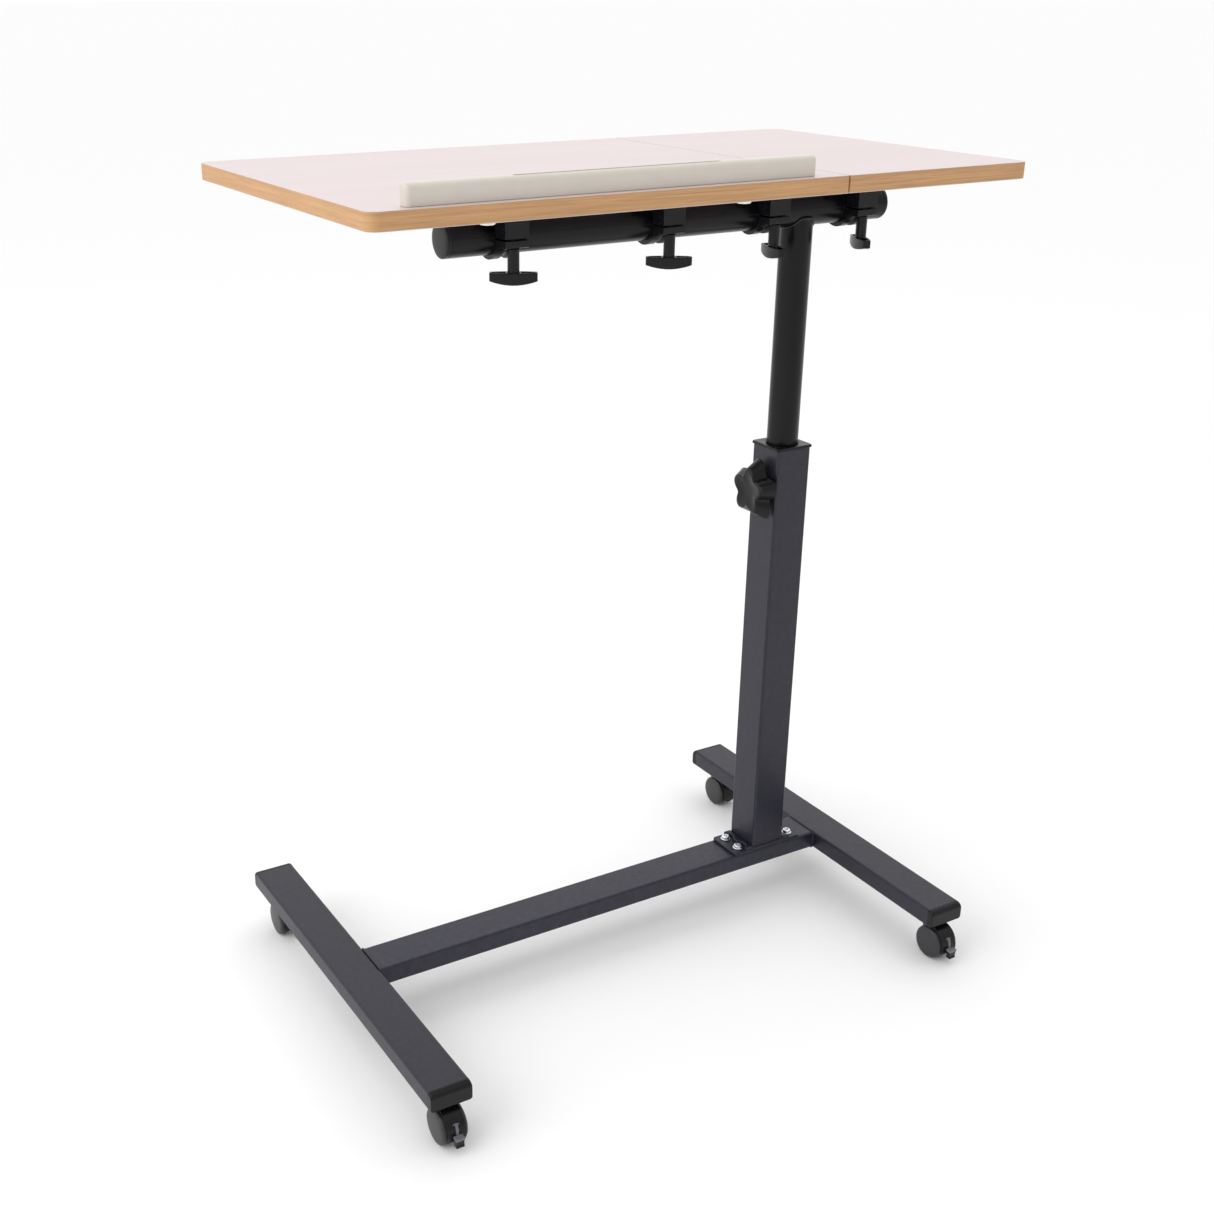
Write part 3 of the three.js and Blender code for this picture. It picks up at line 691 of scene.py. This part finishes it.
def wing_screws():
    """Four T-handled screws: bowed handles with a hollow each side of the shank."""
    half = 23 * MM
    mid_depth, end_depth = 6.8 * MM, 3.6 * MM
    shoulder = middle("crossbar_tube").z - 7.8 * MM - 0.6 * MM  # just under the clamp's lug
    for number in range(1, 5):
        node = f"wing_screw_{number}"
        low, high = span(node, 2)
        centre = middle(node)
        top = low + 11.6 * MM
        end_bottom = low + 3.6 * MM
        front = [(-half, top), (-half, end_bottom)]
        for step in range(1, 24):
            u = half * (step / 12 - 1)
            front.append((u, low + (end_bottom - low) * (u / half) ** 2))
        front += [(half, end_bottom), (half, top)]
        plan = []
        for step in range(25):
            u = half * (step / 12 - 1)
            plan.append((u, -(end_depth + (mid_depth - end_depth) * (1 - (u / half) ** 2))))
        plan += [(u, -v) for u, v in reversed(plan)]
        handle = combine(
            "INTERSECT",
            prism(front, "y", -10 * MM, 10 * MM),
            prism(plan, "z", low - 5 * MM, top + 5 * MM),
        )
        pockets = []
        for side in (-1, 1):
            pocket = [
                (side * 7.5 * MM, -4.2 * MM),
                (side * 21 * MM, -2.2 * MM),
                (side * 21 * MM, 2.2 * MM),
                (side * 7.5 * MM, 4.2 * MM),
            ]
            pockets.append(prism(pocket, "z", end_bottom + 2 * MM, top + 2 * MM))
        handle = combine("DIFFERENCE", handle, *pockets)
        shank = turn(
            [(0, low + 4 * MM), (5.8 * MM, low + 4 * MM), (5.8 * MM, shoulder - 0.5 * MM),
             (5.3 * MM, shoulder), (4 * MM, shoulder), (4 * MM, high), (0, high)],
            "z", Vector((0, 0, 0)), 48,
        )
        skin = moulded(combine("UNION", handle, shank), 0.5 * MM, 3)
        turned = frame_turn(node)
        bmesh.ops.rotate(skin, verts=skin.verts, cent=(0, 0, 0), matrix=turned)
        bmesh.ops.translate(skin, verts=skin.verts, vec=(centre.x, centre.y, 0))
        piece(f"wing_handle_{number}", skin, BLACK, f"wing_{number}", [node], smooth=60)


# ---------------- post and column

def weld_bead(name, path, radius, body):
    """A weld bead of overlapping ripples round a closed path."""
    ripple = 2.4 * MM
    rings = []
    travelled = 0.0
    count = len(path)
    for index, point in enumerate(path):
        tangent = (path[(index + 1) % count] - path[index - 1]).normalized()
        side = tangent.cross(Vector((0, 0, 1)))
        if side.length < 0.1:
            side = tangent.cross(Vector((1, 0, 0)))
        side.normalize()
        up = side.cross(tangent)
        if index:
            travelled += (point - path[index - 1]).length
        swell = radius * (1 + 0.12 * math.sin(2 * math.pi * travelled / ripple))
        ring = []
        for step in range(10):
            angle = 2 * math.pi * step / 10
            ring.append(point + side * swell * math.cos(angle) + up * swell * math.sin(angle))
        rings.append(ring)
    piece(name, loft(rings, closed=True), POWDER, body, smooth=80)


def post():
    """The round post, coped to the crossbar at its top and welded there."""
    bar = middle("crossbar_tube")
    bar_radius = half_size("crossbar_tube", 2)
    low, high = span("inner_post", 2)
    centre = middle("inner_post")
    radius = half_size("inner_post", 0)
    wall = 1.5 * MM
    segments = 96

    def saddle(across, extra=0.0):
        reach = bar_radius + 0.3 * MM + extra
        if abs(across) >= reach:
            return high
        return min(high, bar.z - math.sqrt(reach ** 2 - across ** 2))

    def ring(size, height):
        points = []
        for index in range(segments):
            angle = 2 * math.pi * index / segments
            y = size * math.sin(angle)
            z = height if height is not None else saddle(y)
            points.append((centre.x + size * math.cos(angle), centre.y + y, z))
        return points

    inner = radius - wall
    skin = loft(
        [ring(inner, low), ring(radius - 0.4 * MM, low), ring(radius, low + 0.4 * MM),
         ring(radius, low + 30 * MM), ring(radius, None), ring(inner, None)],
        closed=True,
    )
    piece("post_tube", skin, SMOOTH, "mast", ["inner_post"])
    path = []
    steps = 120
    for index in range(steps):
        angle = 2 * math.pi * index / steps
        y = (radius + 0.2 * MM) * math.sin(angle)
        x = (radius + 0.2 * MM) * math.cos(angle)
        path.append(Vector((centre.x + x, centre.y + y, saddle(y, 0.3 * MM) - 0.2 * MM)))
    weld_bead("post_weld", path, 1.2 * MM, "mast")


def column():
    """The square column and the bush that closes its top round the post."""
    us, vs = span("column_tube", 0), span("column_tube", 1)
    low, high = span("column_tube", 2)
    wall = 2 * MM
    corner = 3 * MM

    def outline(amount):
        return rectangle(inset(us, amount), inset(vs, amount), max(corner - amount, 0.8 * MM), 8)

    skin = stack("z", [
        (outline(wall), low), (outline(0.3 * MM), low), (outline(0), low + 0.3 * MM),
        (outline(0), high - 0.3 * MM), (outline(0.3 * MM), high), (outline(wall), high),
    ], closed=True)
    stud_hole = (middle("knob_stud"), us[0] - 1 * MM, us[0] + wall + 1 * MM)
    skin = drilled(skin, "x", SCREW_HOLE, stud_hole)
    piece("column_shell", skin, POWDER, "base", ["column_tube"], smooth=50)

    path = [Vector((u, v, low - 0.2 * MM)) for u, v in dense(outline(-0.3 * MM), 1.0 * MM)]
    weld_bead("column_weld", path, 1.5 * MM, "base")

    bush_us, bush_vs = span("column_top_bush", 0), span("column_top_bush", 1)
    plug_bottom, lip_top = span("column_top_bush", 2)
    centre = middle("column_top_bush")
    lip_bottom = lip_top - 3 * MM
    bore = 17.9 * MM
    plug_inset = 3.8 * MM

    def square(amount, radius):
        return rectangle(inset(bush_us, amount), inset(bush_vs, amount), radius, 12)

    def circle(radius):
        points = []
        for u, v in square(0, 22 * MM):
            direction = Vector((u - centre.x, v - centre.y)).normalized()
            points.append((centre.x + radius * direction.x, centre.y + radius * direction.y))
        return points

    skin = stack("z", [
        (circle(bore), plug_bottom),
        (square(plug_inset + 0.5 * MM, 1 * MM), plug_bottom),
        (square(plug_inset, 1.2 * MM), plug_bottom + 1 * MM),
        (square(plug_inset, 1.2 * MM), lip_bottom),
        (square(0.3 * MM, 3.2 * MM), lip_bottom),
        (square(0, 3.5 * MM), lip_bottom + 0.3 * MM),
        (square(0, 3.5 * MM), lip_top - 1.0 * MM),
        (square(0.25 * MM, 3.3 * MM), lip_top - 0.4 * MM),
        (square(0.9 * MM, 3.0 * MM), lip_top),
        (circle(bore + 2.4 * MM), lip_top),
        (circle(bore + 1.0 * MM), lip_top - 0.4 * MM),
        (circle(bore), lip_top - 1.4 * MM),
    ], closed=True)
    piece("column_bush", skin, BLACK, "base", ["column_top_bush"], smooth=40)


def dense(outline, spacing):
    """A closed outline with extra points, so that none are further apart than the spacing."""
    points = []
    for index, start in enumerate(outline):
        end = outline[(index + 1) % len(outline)]
        gap = math.hypot(end[0] - start[0], end[1] - start[1])
        parts = max(1, math.ceil(gap / spacing))
        if gap < 1e-7:
            continue
        for part in range(parts):
            share = part / parts
            points.append((start[0] + (end[0] - start[0]) * share,
                           start[1] + (end[1] - start[1]) * share))
    return points


def star_knob():
    """A five-lobed knob that flares towards the column, with a dished face."""
    front, back = span("star_knob", 0)
    centre = middle("knob_stud")
    depth = back - front
    lobes = 5
    phase = math.radians(20)
    count = 160

    def ring(x, radius, swell):
        points = []
        for index in range(count):
            angle = 2 * math.pi * index / count
            wave = math.cos(lobes * (angle - phase))
            size = radius + swell * (wave - 0.18 * wave * wave)
            points.append((x, centre.y + size * math.cos(angle), centre.z + size * math.sin(angle)))
        return points

    rings = [
        ring(front + 2.2 * MM, 3 * MM, 0),
        ring(front + 2.1 * MM, 9 * MM, 0.3 * MM),
        ring(front + 1.2 * MM, 14 * MM, 1.0 * MM),
        ring(front + 0.3 * MM, 18 * MM, 2.2 * MM),
        ring(front, 20 * MM, 3.2 * MM),
        ring(front + 0.25 * MM, 21.8 * MM, 3.8 * MM),
        ring(front + 1.1 * MM, 23.2 * MM, 4.3 * MM),
        ring(front + 2.6 * MM, 24.0 * MM, 4.6 * MM),
        ring(front + 0.45 * depth, 26.4 * MM, 5.2 * MM),
        ring(front + 0.8 * depth, 29.2 * MM, 5.8 * MM),
        ring(back - 1.2 * MM, 30.6 * MM, 6.1 * MM),
        ring(back - 0.3 * MM, 30.4 * MM, 6.0 * MM),
        ring(back, 29.6 * MM, 5.6 * MM),
        ring(back - 0.2 * MM, 26 * MM, 4.9 * MM),
        ring(back - 3.5 * MM, 23 * MM, 4.5 * MM),
        ring(back - 4 * MM, 12 * MM, 0),
        ring(back, 10 * MM, 0),
        ring(back, 4.4 * MM, 0),
        ring(back - 12 * MM, 4.4 * MM, 0),
        ring(back - 12 * MM, 0.5 * MM, 0),
    ]
    piece("knob_body", loft(rings), BLACK, "knob", ["star_knob"], smooth=55)


# ---------------- base frame

def rail_outline(us, vs, amount=0.0, corner=3 * MM):
    return rectangle(inset(us, amount), inset(vs, amount), max(corner - amount, 0.5 * MM), 8)


def fall(radius, back):
    """How far a rounded edge of this radius has fallen, this far back from the end face."""
    if back >= radius:
        return 0.0
    return radius - math.sqrt(radius ** 2 - (radius - back) ** 2)


def feet_and_beam():
    """The two foot tubes, the beam between them, their weld beads and their end plugs."""
    beam_ys, beam_zs = span("base_beam", 1), span("base_beam", 2)
    start, end = span("base_beam", 0)
    wall = 1.5 * MM
    nose = 7 * MM
    nose_bottom, nose_top, nose_side = 3 * MM, 6.5 * MM, 1.2 * MM
    skin = stack("x", [
        (rail_outline(beam_ys, beam_zs, wall), start),
        (rail_outline(beam_ys, beam_zs), start),
        (rail_outline(beam_ys, beam_zs), end),
        (rail_outline(beam_ys, beam_zs, wall), end),
    ], closed=True)
    piece("beam_tube", skin, POWDER, "base", ["base_beam"], smooth=50)
    for side, x in (("left", start), ("right", end)):
        outline = dense(rail_outline(beam_ys, beam_zs, -0.1 * MM), 0.8 * MM)
        path = [Vector((x, y, z)) for y, z in outline]
        weld_bead(f"beam_weld_{side}", path, 1.3 * MM, "base")

    for side in SIDES:
        node = f"{side}_foot_tube"
        us, vs = span(node, 0), span(node, 2)
        near, far = span(node, 1)
        skin = stack("y", [
            (rail_outline(us, vs, wall), near),
            (rail_outline(us, vs, 0.3 * MM), near),
            (rail_outline(us, vs), near + 0.3 * MM),
            (rail_outline(us, vs), far - 0.3 * MM),
            (rail_outline(us, vs, 0.3 * MM), far),
            (rail_outline(us, vs, wall), far),
        ], closed=True)
        piece(f"{side}_foot", skin, POWDER, "base", [node], smooth=50)
        for end_name, inward in (("near", 1), ("far", -1)):
            cap = f"foot_end_cap_{side}_{end_name}"
            low, high = span(cap, 1)
            outer = low if end_name == "near" else high
            inner = high if end_name == "near" else low
            seat = outer + inward * nose
            plug = wall + 0.3 * MM
            levels = [
                (rail_outline(us, vs, plug + 0.6 * MM), inner),
                (rail_outline(us, vs, plug), inner - inward * 1 * MM),
                (rail_outline(us, vs, plug), seat),
                (rail_outline(us, vs, 0.2 * MM), seat),
            ]
            for share in (0.96, 0.9, 0.75, 0.6, 0.45, 0.32, 0.22, 0.14, 0.07, 0.03, 0.01, 0):
                back = share * nose
                limits = (vs[0] + fall(nose_bottom, back), vs[1] - fall(nose_top, back))
                outline = rail_outline(inset(us, fall(nose_side, back)), limits)
                levels.append((outline, outer + inward * back))
            skin = stack("y", levels)
            piece(f"foot_plug_{side}_{end_name}", skin, BLACK, "base", [cap], smooth=40)


def base_plate():
    """The plate under the column, its raised pad with a pocket round each screw, and screws."""
    us, vs = span("column_base_plate", 0), span("column_base_plate", 1)
    bottom, top = span("column_base_plate", 2)
    centre = middle("column_base_plate")
    plate_top = bottom + 3.2 * MM

    def outline(amount):
        return rectangle(inset(us, amount), inset(vs, amount), 4 * MM - amount, 4)

    plate = stack("z", [
        (outline(0.2 * MM), bottom), (outline(0), bottom + 0.3 * MM),
        (outline(0), plate_top - 0.9 * MM), (outline(0.3 * MM), plate_top - 0.3 * MM),
        (outline(0.9 * MM), plate_top),
    ])
    piece("plate", plate, POWDER, "base", ["column_base_plate"], smooth=40)

    half_length, half_width = 33 * MM, 23 * MM
    screw = middle("plate_screw_4") - centre
    pocket = 9.5 * MM
    rise = math.sqrt(pocket ** 2 - (screw.x - half_length) ** 2)
    bite = math.degrees(math.atan2(rise, screw.x - half_length))
    pockets = arc((screw.x, -screw.y), pocket, 180 + bite, 180 - bite, 14)
    pockets += arc((screw.x, screw.y), pocket, 180 + bite, 180 - bite, 14)
    inner = 23.4 * MM  # just clear of the column's side
    pad = [(inner, -half_width), (half_length, -half_width)] + pockets
    pad += [(half_length, half_width), (inner, half_width)]

    def at_top(edge):
        return all(abs(vertex.co.z - top) < 1e-6 for vertex in edge.verts)

    for side, sign in (("left", -1), ("right", 1)):
        outline = [(centre.x + sign * u, centre.y + v) for u, v in pad]
        skin = prism(outline, "z", plate_top - 0.5 * MM, top)
        piece(f"plate_pad_{side}", ease(skin, 1.2 * MM, 4, 50, at_top), POWDER, "base", smooth=50)

    for number in range(1, 5):
        screw_piece(number, plate_top)


def screw_piece(number, plate_top):
    """A washer-faced screw with a hexagon socket."""
    node = f"plate_screw_{number}"
    centre = middle(node)
    low, high = span(node, 2)
    seat = plate_top + 0.3 * MM
    count = 48

    def circle(radius):
        return [(centre.x + u, centre.y + v) for u, v in arc((0, 0), radius, 0, 360, count)[:-1]]

    def hexagon(flat):
        points = []
        for index in range(count):
            angle = 360 * index / count
            off = (angle + 30) % 60 - 30
            radius = flat / math.cos(math.radians(off))
            u, v = radius * math.cos(math.radians(angle)), radius * math.sin(math.radians(angle))
            points.append((centre.x + u, centre.y + v))
        return points

    skin = stack("z", [
        (circle(2.6 * MM), low), (circle(3 * MM), low + 0.6 * MM), (circle(3 * MM), seat),
        (circle(5.8 * MM), seat), (circle(6 * MM), seat + 0.25 * MM),
        (circle(6 * MM), seat + 0.9 * MM), (circle(5.7 * MM), seat + 1.2 * MM),
        (circle(4.9 * MM), seat + 1.3 * MM), (circle(4.8 * MM), seat + 1.6 * MM),
        (circle(4.8 * MM), high - 1.1 * MM), (circle(4.5 * MM), high - 0.4 * MM),
        (circle(3.9 * MM), high), (hexagon(2.5 * MM), high),
        (hexagon(2.3 * MM), high - 0.3 * MM), (hexagon(2.3 * MM), high - 2.2 * MM),
        (circle(0.6 * MM), high - 2.7 * MM),
    ])
    piece(f"plate_bolt_{number}", skin, ZINC, "base", [node], smooth=35)


# ---------------- castors

HOOD_START, HOOD_END = 60, 200  # angles about the axle, from the far side upwards
LEVER_START = 150


def fender(axle, half_width, start, end, steps=40):
    """The curved cover over both wheels, with soft edges."""
    inner, outer = 20.8 * MM, 22.3 * MM
    soft = 0.5 * MM
    section = [
        (-half_width, inner),
        (-half_width, outer - soft),
        (-half_width + 0.15 * MM, outer - 0.15 * MM),
        (-half_width + soft, outer),
        (half_width - soft, outer),
        (half_width - 0.15 * MM, outer - 0.15 * MM),
        (half_width, outer - soft),
        (half_width, inner),
    ]
    rings = []
    for step in range(steps + 1):
        angle = math.radians(start + (end - start) * step / steps)
        ring = []
        for x, radius in section:
            y, z = radius * math.cos(angle), radius * math.sin(angle)
            ring.append((axle.x + x, axle.y + y, axle.z + z))
        rings.append(ring)
    return loft(rings)


def around_axle(axle, outline, half_width):
    placed = [(axle.y + u, axle.z + v) for u, v in outline]
    return prism(placed, "x", axle.x - half_width, axle.x + half_width)


def arc_band(inner, outer, start, end, steps=24):
    return arc((0, 0), outer, start, end, steps) + arc((0, 0), inner, end, start, steps)


def hood(side, end):
    """A castor's hood: the fender, the web between the wheels and the boss round the stem."""
    axle = middle(f"castor_axle_{side}_{end}")
    stem = middle(f"castor_stem_{side}_{end}")
    node = f"castor_hood_{side}_{end}"
    top = span(node, 2)[1]
    cover = fender(axle, 10.3 * MM, HOOD_START, HOOD_END)
    web_outline = arc((0, 0), 21.6 * MM, HOOD_START, HOOD_END, 30)
    web_outline += arc((0, 0), 6 * MM, 243, 387, 16)
    web = ease(around_axle(axle, web_outline, 4.7 * MM), 0.4 * MM, 2, 50)
    boss = turn(
        [(3.5 * MM, -3.4 * MM), (6.8 * MM, -3.4 * MM), (6.5 * MM, -0.6 * MM), (6.1 * MM, 0),
         (3.5 * MM, 0), (3.5 * MM, -3.4 * MM)],
        "z", Vector((stem.x, stem.y, top)), 40,
    )
    bmesh.ops.remove_doubles(boss, verts=boss.verts, dist=1e-6)
    pillar_us = (stem.x - 4.7 * MM, stem.x + 4.7 * MM)
    pillar_vs = (stem.y - 5.2 * MM, stem.y + 5.2 * MM)
    pillar_outline = rectangle(pillar_us, pillar_vs, 1 * MM)
    pillar = prism(pillar_outline, "z", axle.z + 4 * MM, top - 2.4 * MM)
    skin = combine("UNION", cover, web, pillar)
    stem_low = span(f"castor_stem_{side}_{end}", 2)[0]
    skin = drilled(skin, "z", 3.5 * MM, (stem, stem_low - 0.4 * MM, top + 1 * MM))
    if end == "near":
        slot = around_axle(axle, arc_band(19.4 * MM, 26 * MM, 145, 206), 1.9 * MM)
        pin_hole = lever_pin(axle, 1.1 * MM, 3.6 * MM)
        skin = combine("DIFFERENCE", skin, slot, pin_hole)
    body = f"castor_{side}_{end}"
    piece(f"hood_{side}_{end}", skin, BLACK, body, [node], smooth=35)
    piece(f"hood_boss_{side}_{end}", boss, BLACK, body, smooth=35)


def lever_pivot(axle):
    angle = math.radians(LEVER_START)
    reach = 21.6 * MM
    return Vector((axle.x, axle.y + reach * math.cos(angle), axle.z + reach * math.sin(angle)))


def lever_pin(axle, radius, half_length):
    profile = [(0, -half_length), (radius, -half_length), (radius, half_length), (0, half_length)]
    return turn(profile, "x", lever_pivot(axle), 20)


def brake_lever(side):
    """The T-shaped brake lever: a slim arm in the hood's slot, a crosspiece and a tab in black
    plastic, which is painted shade on the grey pedal's front.
    """
    node = f"brake_lever_{side}"
    body = f"brake_{side}"
    axle = middle(f"castor_axle_{side}_near")
    pivot = lever_pivot(axle)
    near = span(node, 1)[0]
    low = span(node, 2)[0] + 2.5 * MM
    high = low + 11.5 * MM
    half = 4.8 * MM
    far = near + 7 * MM
    arm = around_axle(axle, arc_band(21 * MM, 23.6 * MM, LEVER_START, 190), 1.5 * MM)
    arm = ease(arm, 0.4 * MM, 2, 50)
    head = turn(
        [(0, -1.5 * MM), (1.3 * MM, -1.5 * MM), (1.6 * MM, -1.2 * MM), (1.6 * MM, 1.2 * MM),
         (1.3 * MM, 1.5 * MM), (0, 1.5 * MM)],
        "x", pivot, 32,
    )
    pin = lever_pin(axle, 0.8 * MM, 3.4 * MM)
    bar_low = high - 3 * MM
    bar_outline = rounded_polygon([
        (far, bar_low, 0.6 * MM), (far, high, 0.6 * MM),
        (near, high, 1.2 * MM), (near, bar_low, 0.6 * MM),
    ])
    bar = ease(prism(bar_outline, "x", axle.x - half, axle.x + half), 0.6 * MM, 3, 50)
    skin = combine("UNION", arm, head, pin, bar)
    piece(f"brake_arm_{side}", skin, GREY, body, [node], smooth=40)
    # The tab takes black plastic as painted shade: the pedal is grey like the arm, and only its
    # front face lies in shade.
    tab_outline = rounded_polygon([
        (far - 0.3 * MM, low, 0.8 * MM), (far - 0.3 * MM, bar_low + 0.5 * MM, 0),
        (near + 0.6 * MM, bar_low + 0.5 * MM, 0), (near + 1.6 * MM, low + 3 * MM, 1.5 * MM),
        (near + 0.4 * MM, low, 0.8 * MM),
    ])
    tab = prism(tab_outline, "x", axle.x - half + 0.3 * MM, axle.x + half - 0.3 * MM)
    piece(f"brake_tab_painted_shade_{side}", ease(tab, 0.5 * MM, 3, 50), BLACK, body, smooth=40)


def wheel(side, end, half):
    """One wheel of a twin castor: a grooved tread and a domed cover."""
    node = f"castor_wheel_{side}_{end}_{half}"
    axle = middle(f"castor_axle_{side}_{end}")
    low, high = span(node, 0)
    sign = -1 if half == "left" else 1
    inner = high if half == "left" else low
    shift = inner - axle.x

    def at(distance):
        return shift + sign * distance * MM

    profile = [
        (0, at(7.9)), (2.4 * MM, at(7.9)), (2.4 * MM, at(0)), (15 * MM, at(0)), (16 * MM, at(0.5)),
        (18.6 * MM, at(0.5)), (19.6 * MM, at(0.9)), (20 * MM, at(1.6)), (20 * MM, at(4.2)),
        (19.8 * MM, at(4.6)), (19.1 * MM, at(4.8)), (19.0 * MM, at(5.2)), (19.5 * MM, at(5.4)),
        (19.5 * MM, at(6.6)), (19.1 * MM, at(7.9)), (18.2 * MM, at(8.8)), (16.4 * MM, at(9.4)),
        (15.9 * MM, at(9.35)), (15.5 * MM, at(9.5)), (11 * MM, at(9.85)), (5 * MM, at(9.98)),
        (0, at(10)),
    ]
    name = f"wheel_{side}_{end}_{half}"
    piece(name, turn(profile, "x", axle, 72), WHEEL, name, [node], smooth=40)


def castor_stem(side, end):
    node = f"castor_stem_{side}_{end}"
    low, high = span(node, 2)
    centre = middle(node)
    foot = span(f"{side}_foot_tube", 2)[0]
    collar_top = foot - 0.3 * MM
    collar_low = collar_top - 1.5 * MM
    centre.z = 0
    profile = [
        (0, low), (2.6 * MM, low), (3 * MM, low + 0.5 * MM), (3 * MM, collar_low),
        (7.6 * MM, collar_low), (8 * MM, collar_low + 0.3 * MM), (8 * MM, collar_top - 0.3 * MM),
        (7.6 * MM, collar_top), (4 * MM, collar_top), (4 * MM, high - 0.8 * MM), (3.2 * MM, high),
        (0, high),
    ]
    piece(f"stem_{side}_{end}", turn(profile, "z", centre, 40), STEEL, "base", [node])


def castors():
    for side in SIDES:
        for end in ENDS:
            hood(side, end)
            castor_stem(side, end)
            for half in SIDES:
                wheel(side, end, half)
        brake_lever(side)


# ---------------- inner pieces kept from CAD

def kept_nodes():
    """Hidden pieces keep their CAD shape and take a finish."""
    finishes = {
        "knob_stud": STEEL,
        "knob_weld_nut": POWDER,
        "knob_pressure_pad": BLACK,
        "post_glide": BLACK,
    }
    for side in SIDES:
        for end in ENDS:
            finishes[f"castor_axle_{side}_{end}"] = STEEL
    for node, finish in finishes.items():
        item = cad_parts[node]
        item.data.materials.clear()
        item.data.materials.append(finish.material)


# ---------------- stage, lights and camera

def stage():
    """A plain pale floor."""
    size = 60
    mesh = bpy.data.meshes.new("floor")
    corners = [(-size, -size, 0), (size, -size, 0), (size, size, 0), (-size, size, 0)]
    mesh.from_pydata(corners, [], [(0, 1, 2, 3)])
    floor = bpy.data.objects.new("floor", mesh)
    bpy.context.scene.collection.objects.link(floor)
    material = bpy.data.materials.new("floor")
    material.use_nodes = True
    shader = material.node_tree.nodes["Principled BSDF"]
    shader.inputs["Base Color"].default_value = (0.97, 0.97, 0.97, 1)
    shader.inputs["Roughness"].default_value = 0.9
    shader.inputs["Specular IOR Level"].default_value = 0.1
    mesh.materials.append(material)


def area_light(name, place, target, size, power):
    light = bpy.data.lights.new(name, "AREA")
    light.shape = "RECTANGLE"
    light.size, light.size_y = size
    light.energy = power
    item = bpy.data.objects.new(name, light)
    item.location = place
    direction = Vector(target) - Vector(place)
    item.rotation_euler = direction.to_track_quat("-Z", "Y").to_euler()
    bpy.context.scene.collection.objects.link(item)


def lights():
    """A white surround, dimmer on the near side, with soft boxes above and to the left."""
    world = bpy.data.worlds.new("studio")
    world.use_nodes = True
    background = world.node_tree.nodes["Background"]
    background.inputs["Color"].default_value = (1, 1, 1, 1)
    direction = world.node_tree.nodes.new("ShaderNodeTexCoord").outputs["Generated"]
    parts = world.node_tree.nodes.new("ShaderNodeSeparateXYZ")
    world.node_tree.links.new(direction, parts.inputs["Vector"])
    dimmer = world.node_tree.nodes.new("ShaderNodeMapRange")
    for socket, value in (("From Min", -0.9), ("From Max", 0.1), ("To Min", 0.6), ("To Max", 1.15)):
        dimmer.inputs[socket].default_value = value
    world.node_tree.links.new(parts.outputs["Y"], dimmer.inputs["Value"])
    world.node_tree.links.new(dimmer.outputs["Result"], background.inputs["Strength"])
    bpy.context.scene.world = world
    bpy.context.scene.view_settings.view_transform = "Standard"
    area_light("key", (-2.8, -0.3, 1.9), (0, 0, 0.5), (2.2, 2.2), 26)
    area_light("top", (0.2, 0.6, 3.2), (0, 0, 0.6), (3.0, 2.0), 6)


def camera():
    """Stands at the near left, a little above the table, looking slightly down."""
    place = Vector((-0.86425, -1.3355, 1.0686))
    yaw, pitch = 29.83, -23.78
    sensor = 36.0
    lens = 46.42
    data = bpy.data.cameras.new("camera")
    data.sensor_width = sensor
    data.lens = lens
    data.shift_x = 0.062
    data.shift_y = 0.0433
    item = bpy.data.objects.new("camera", data)
    item.location = place
    item.rotation_euler = (math.radians(90 + pitch), 0, math.radians(-yaw))
    bpy.context.scene.collection.objects.link(item)
    bpy.context.scene.camera = item


panel("main", "main_top", True)
panel("side", "side_top", False)
book_stop()
crossbar()
clamps()
wing_screws()
post()
column()
star_knob()
feet_and_beam()
base_plate()
castors()
kept_nodes()
stage()
lights()
camera()
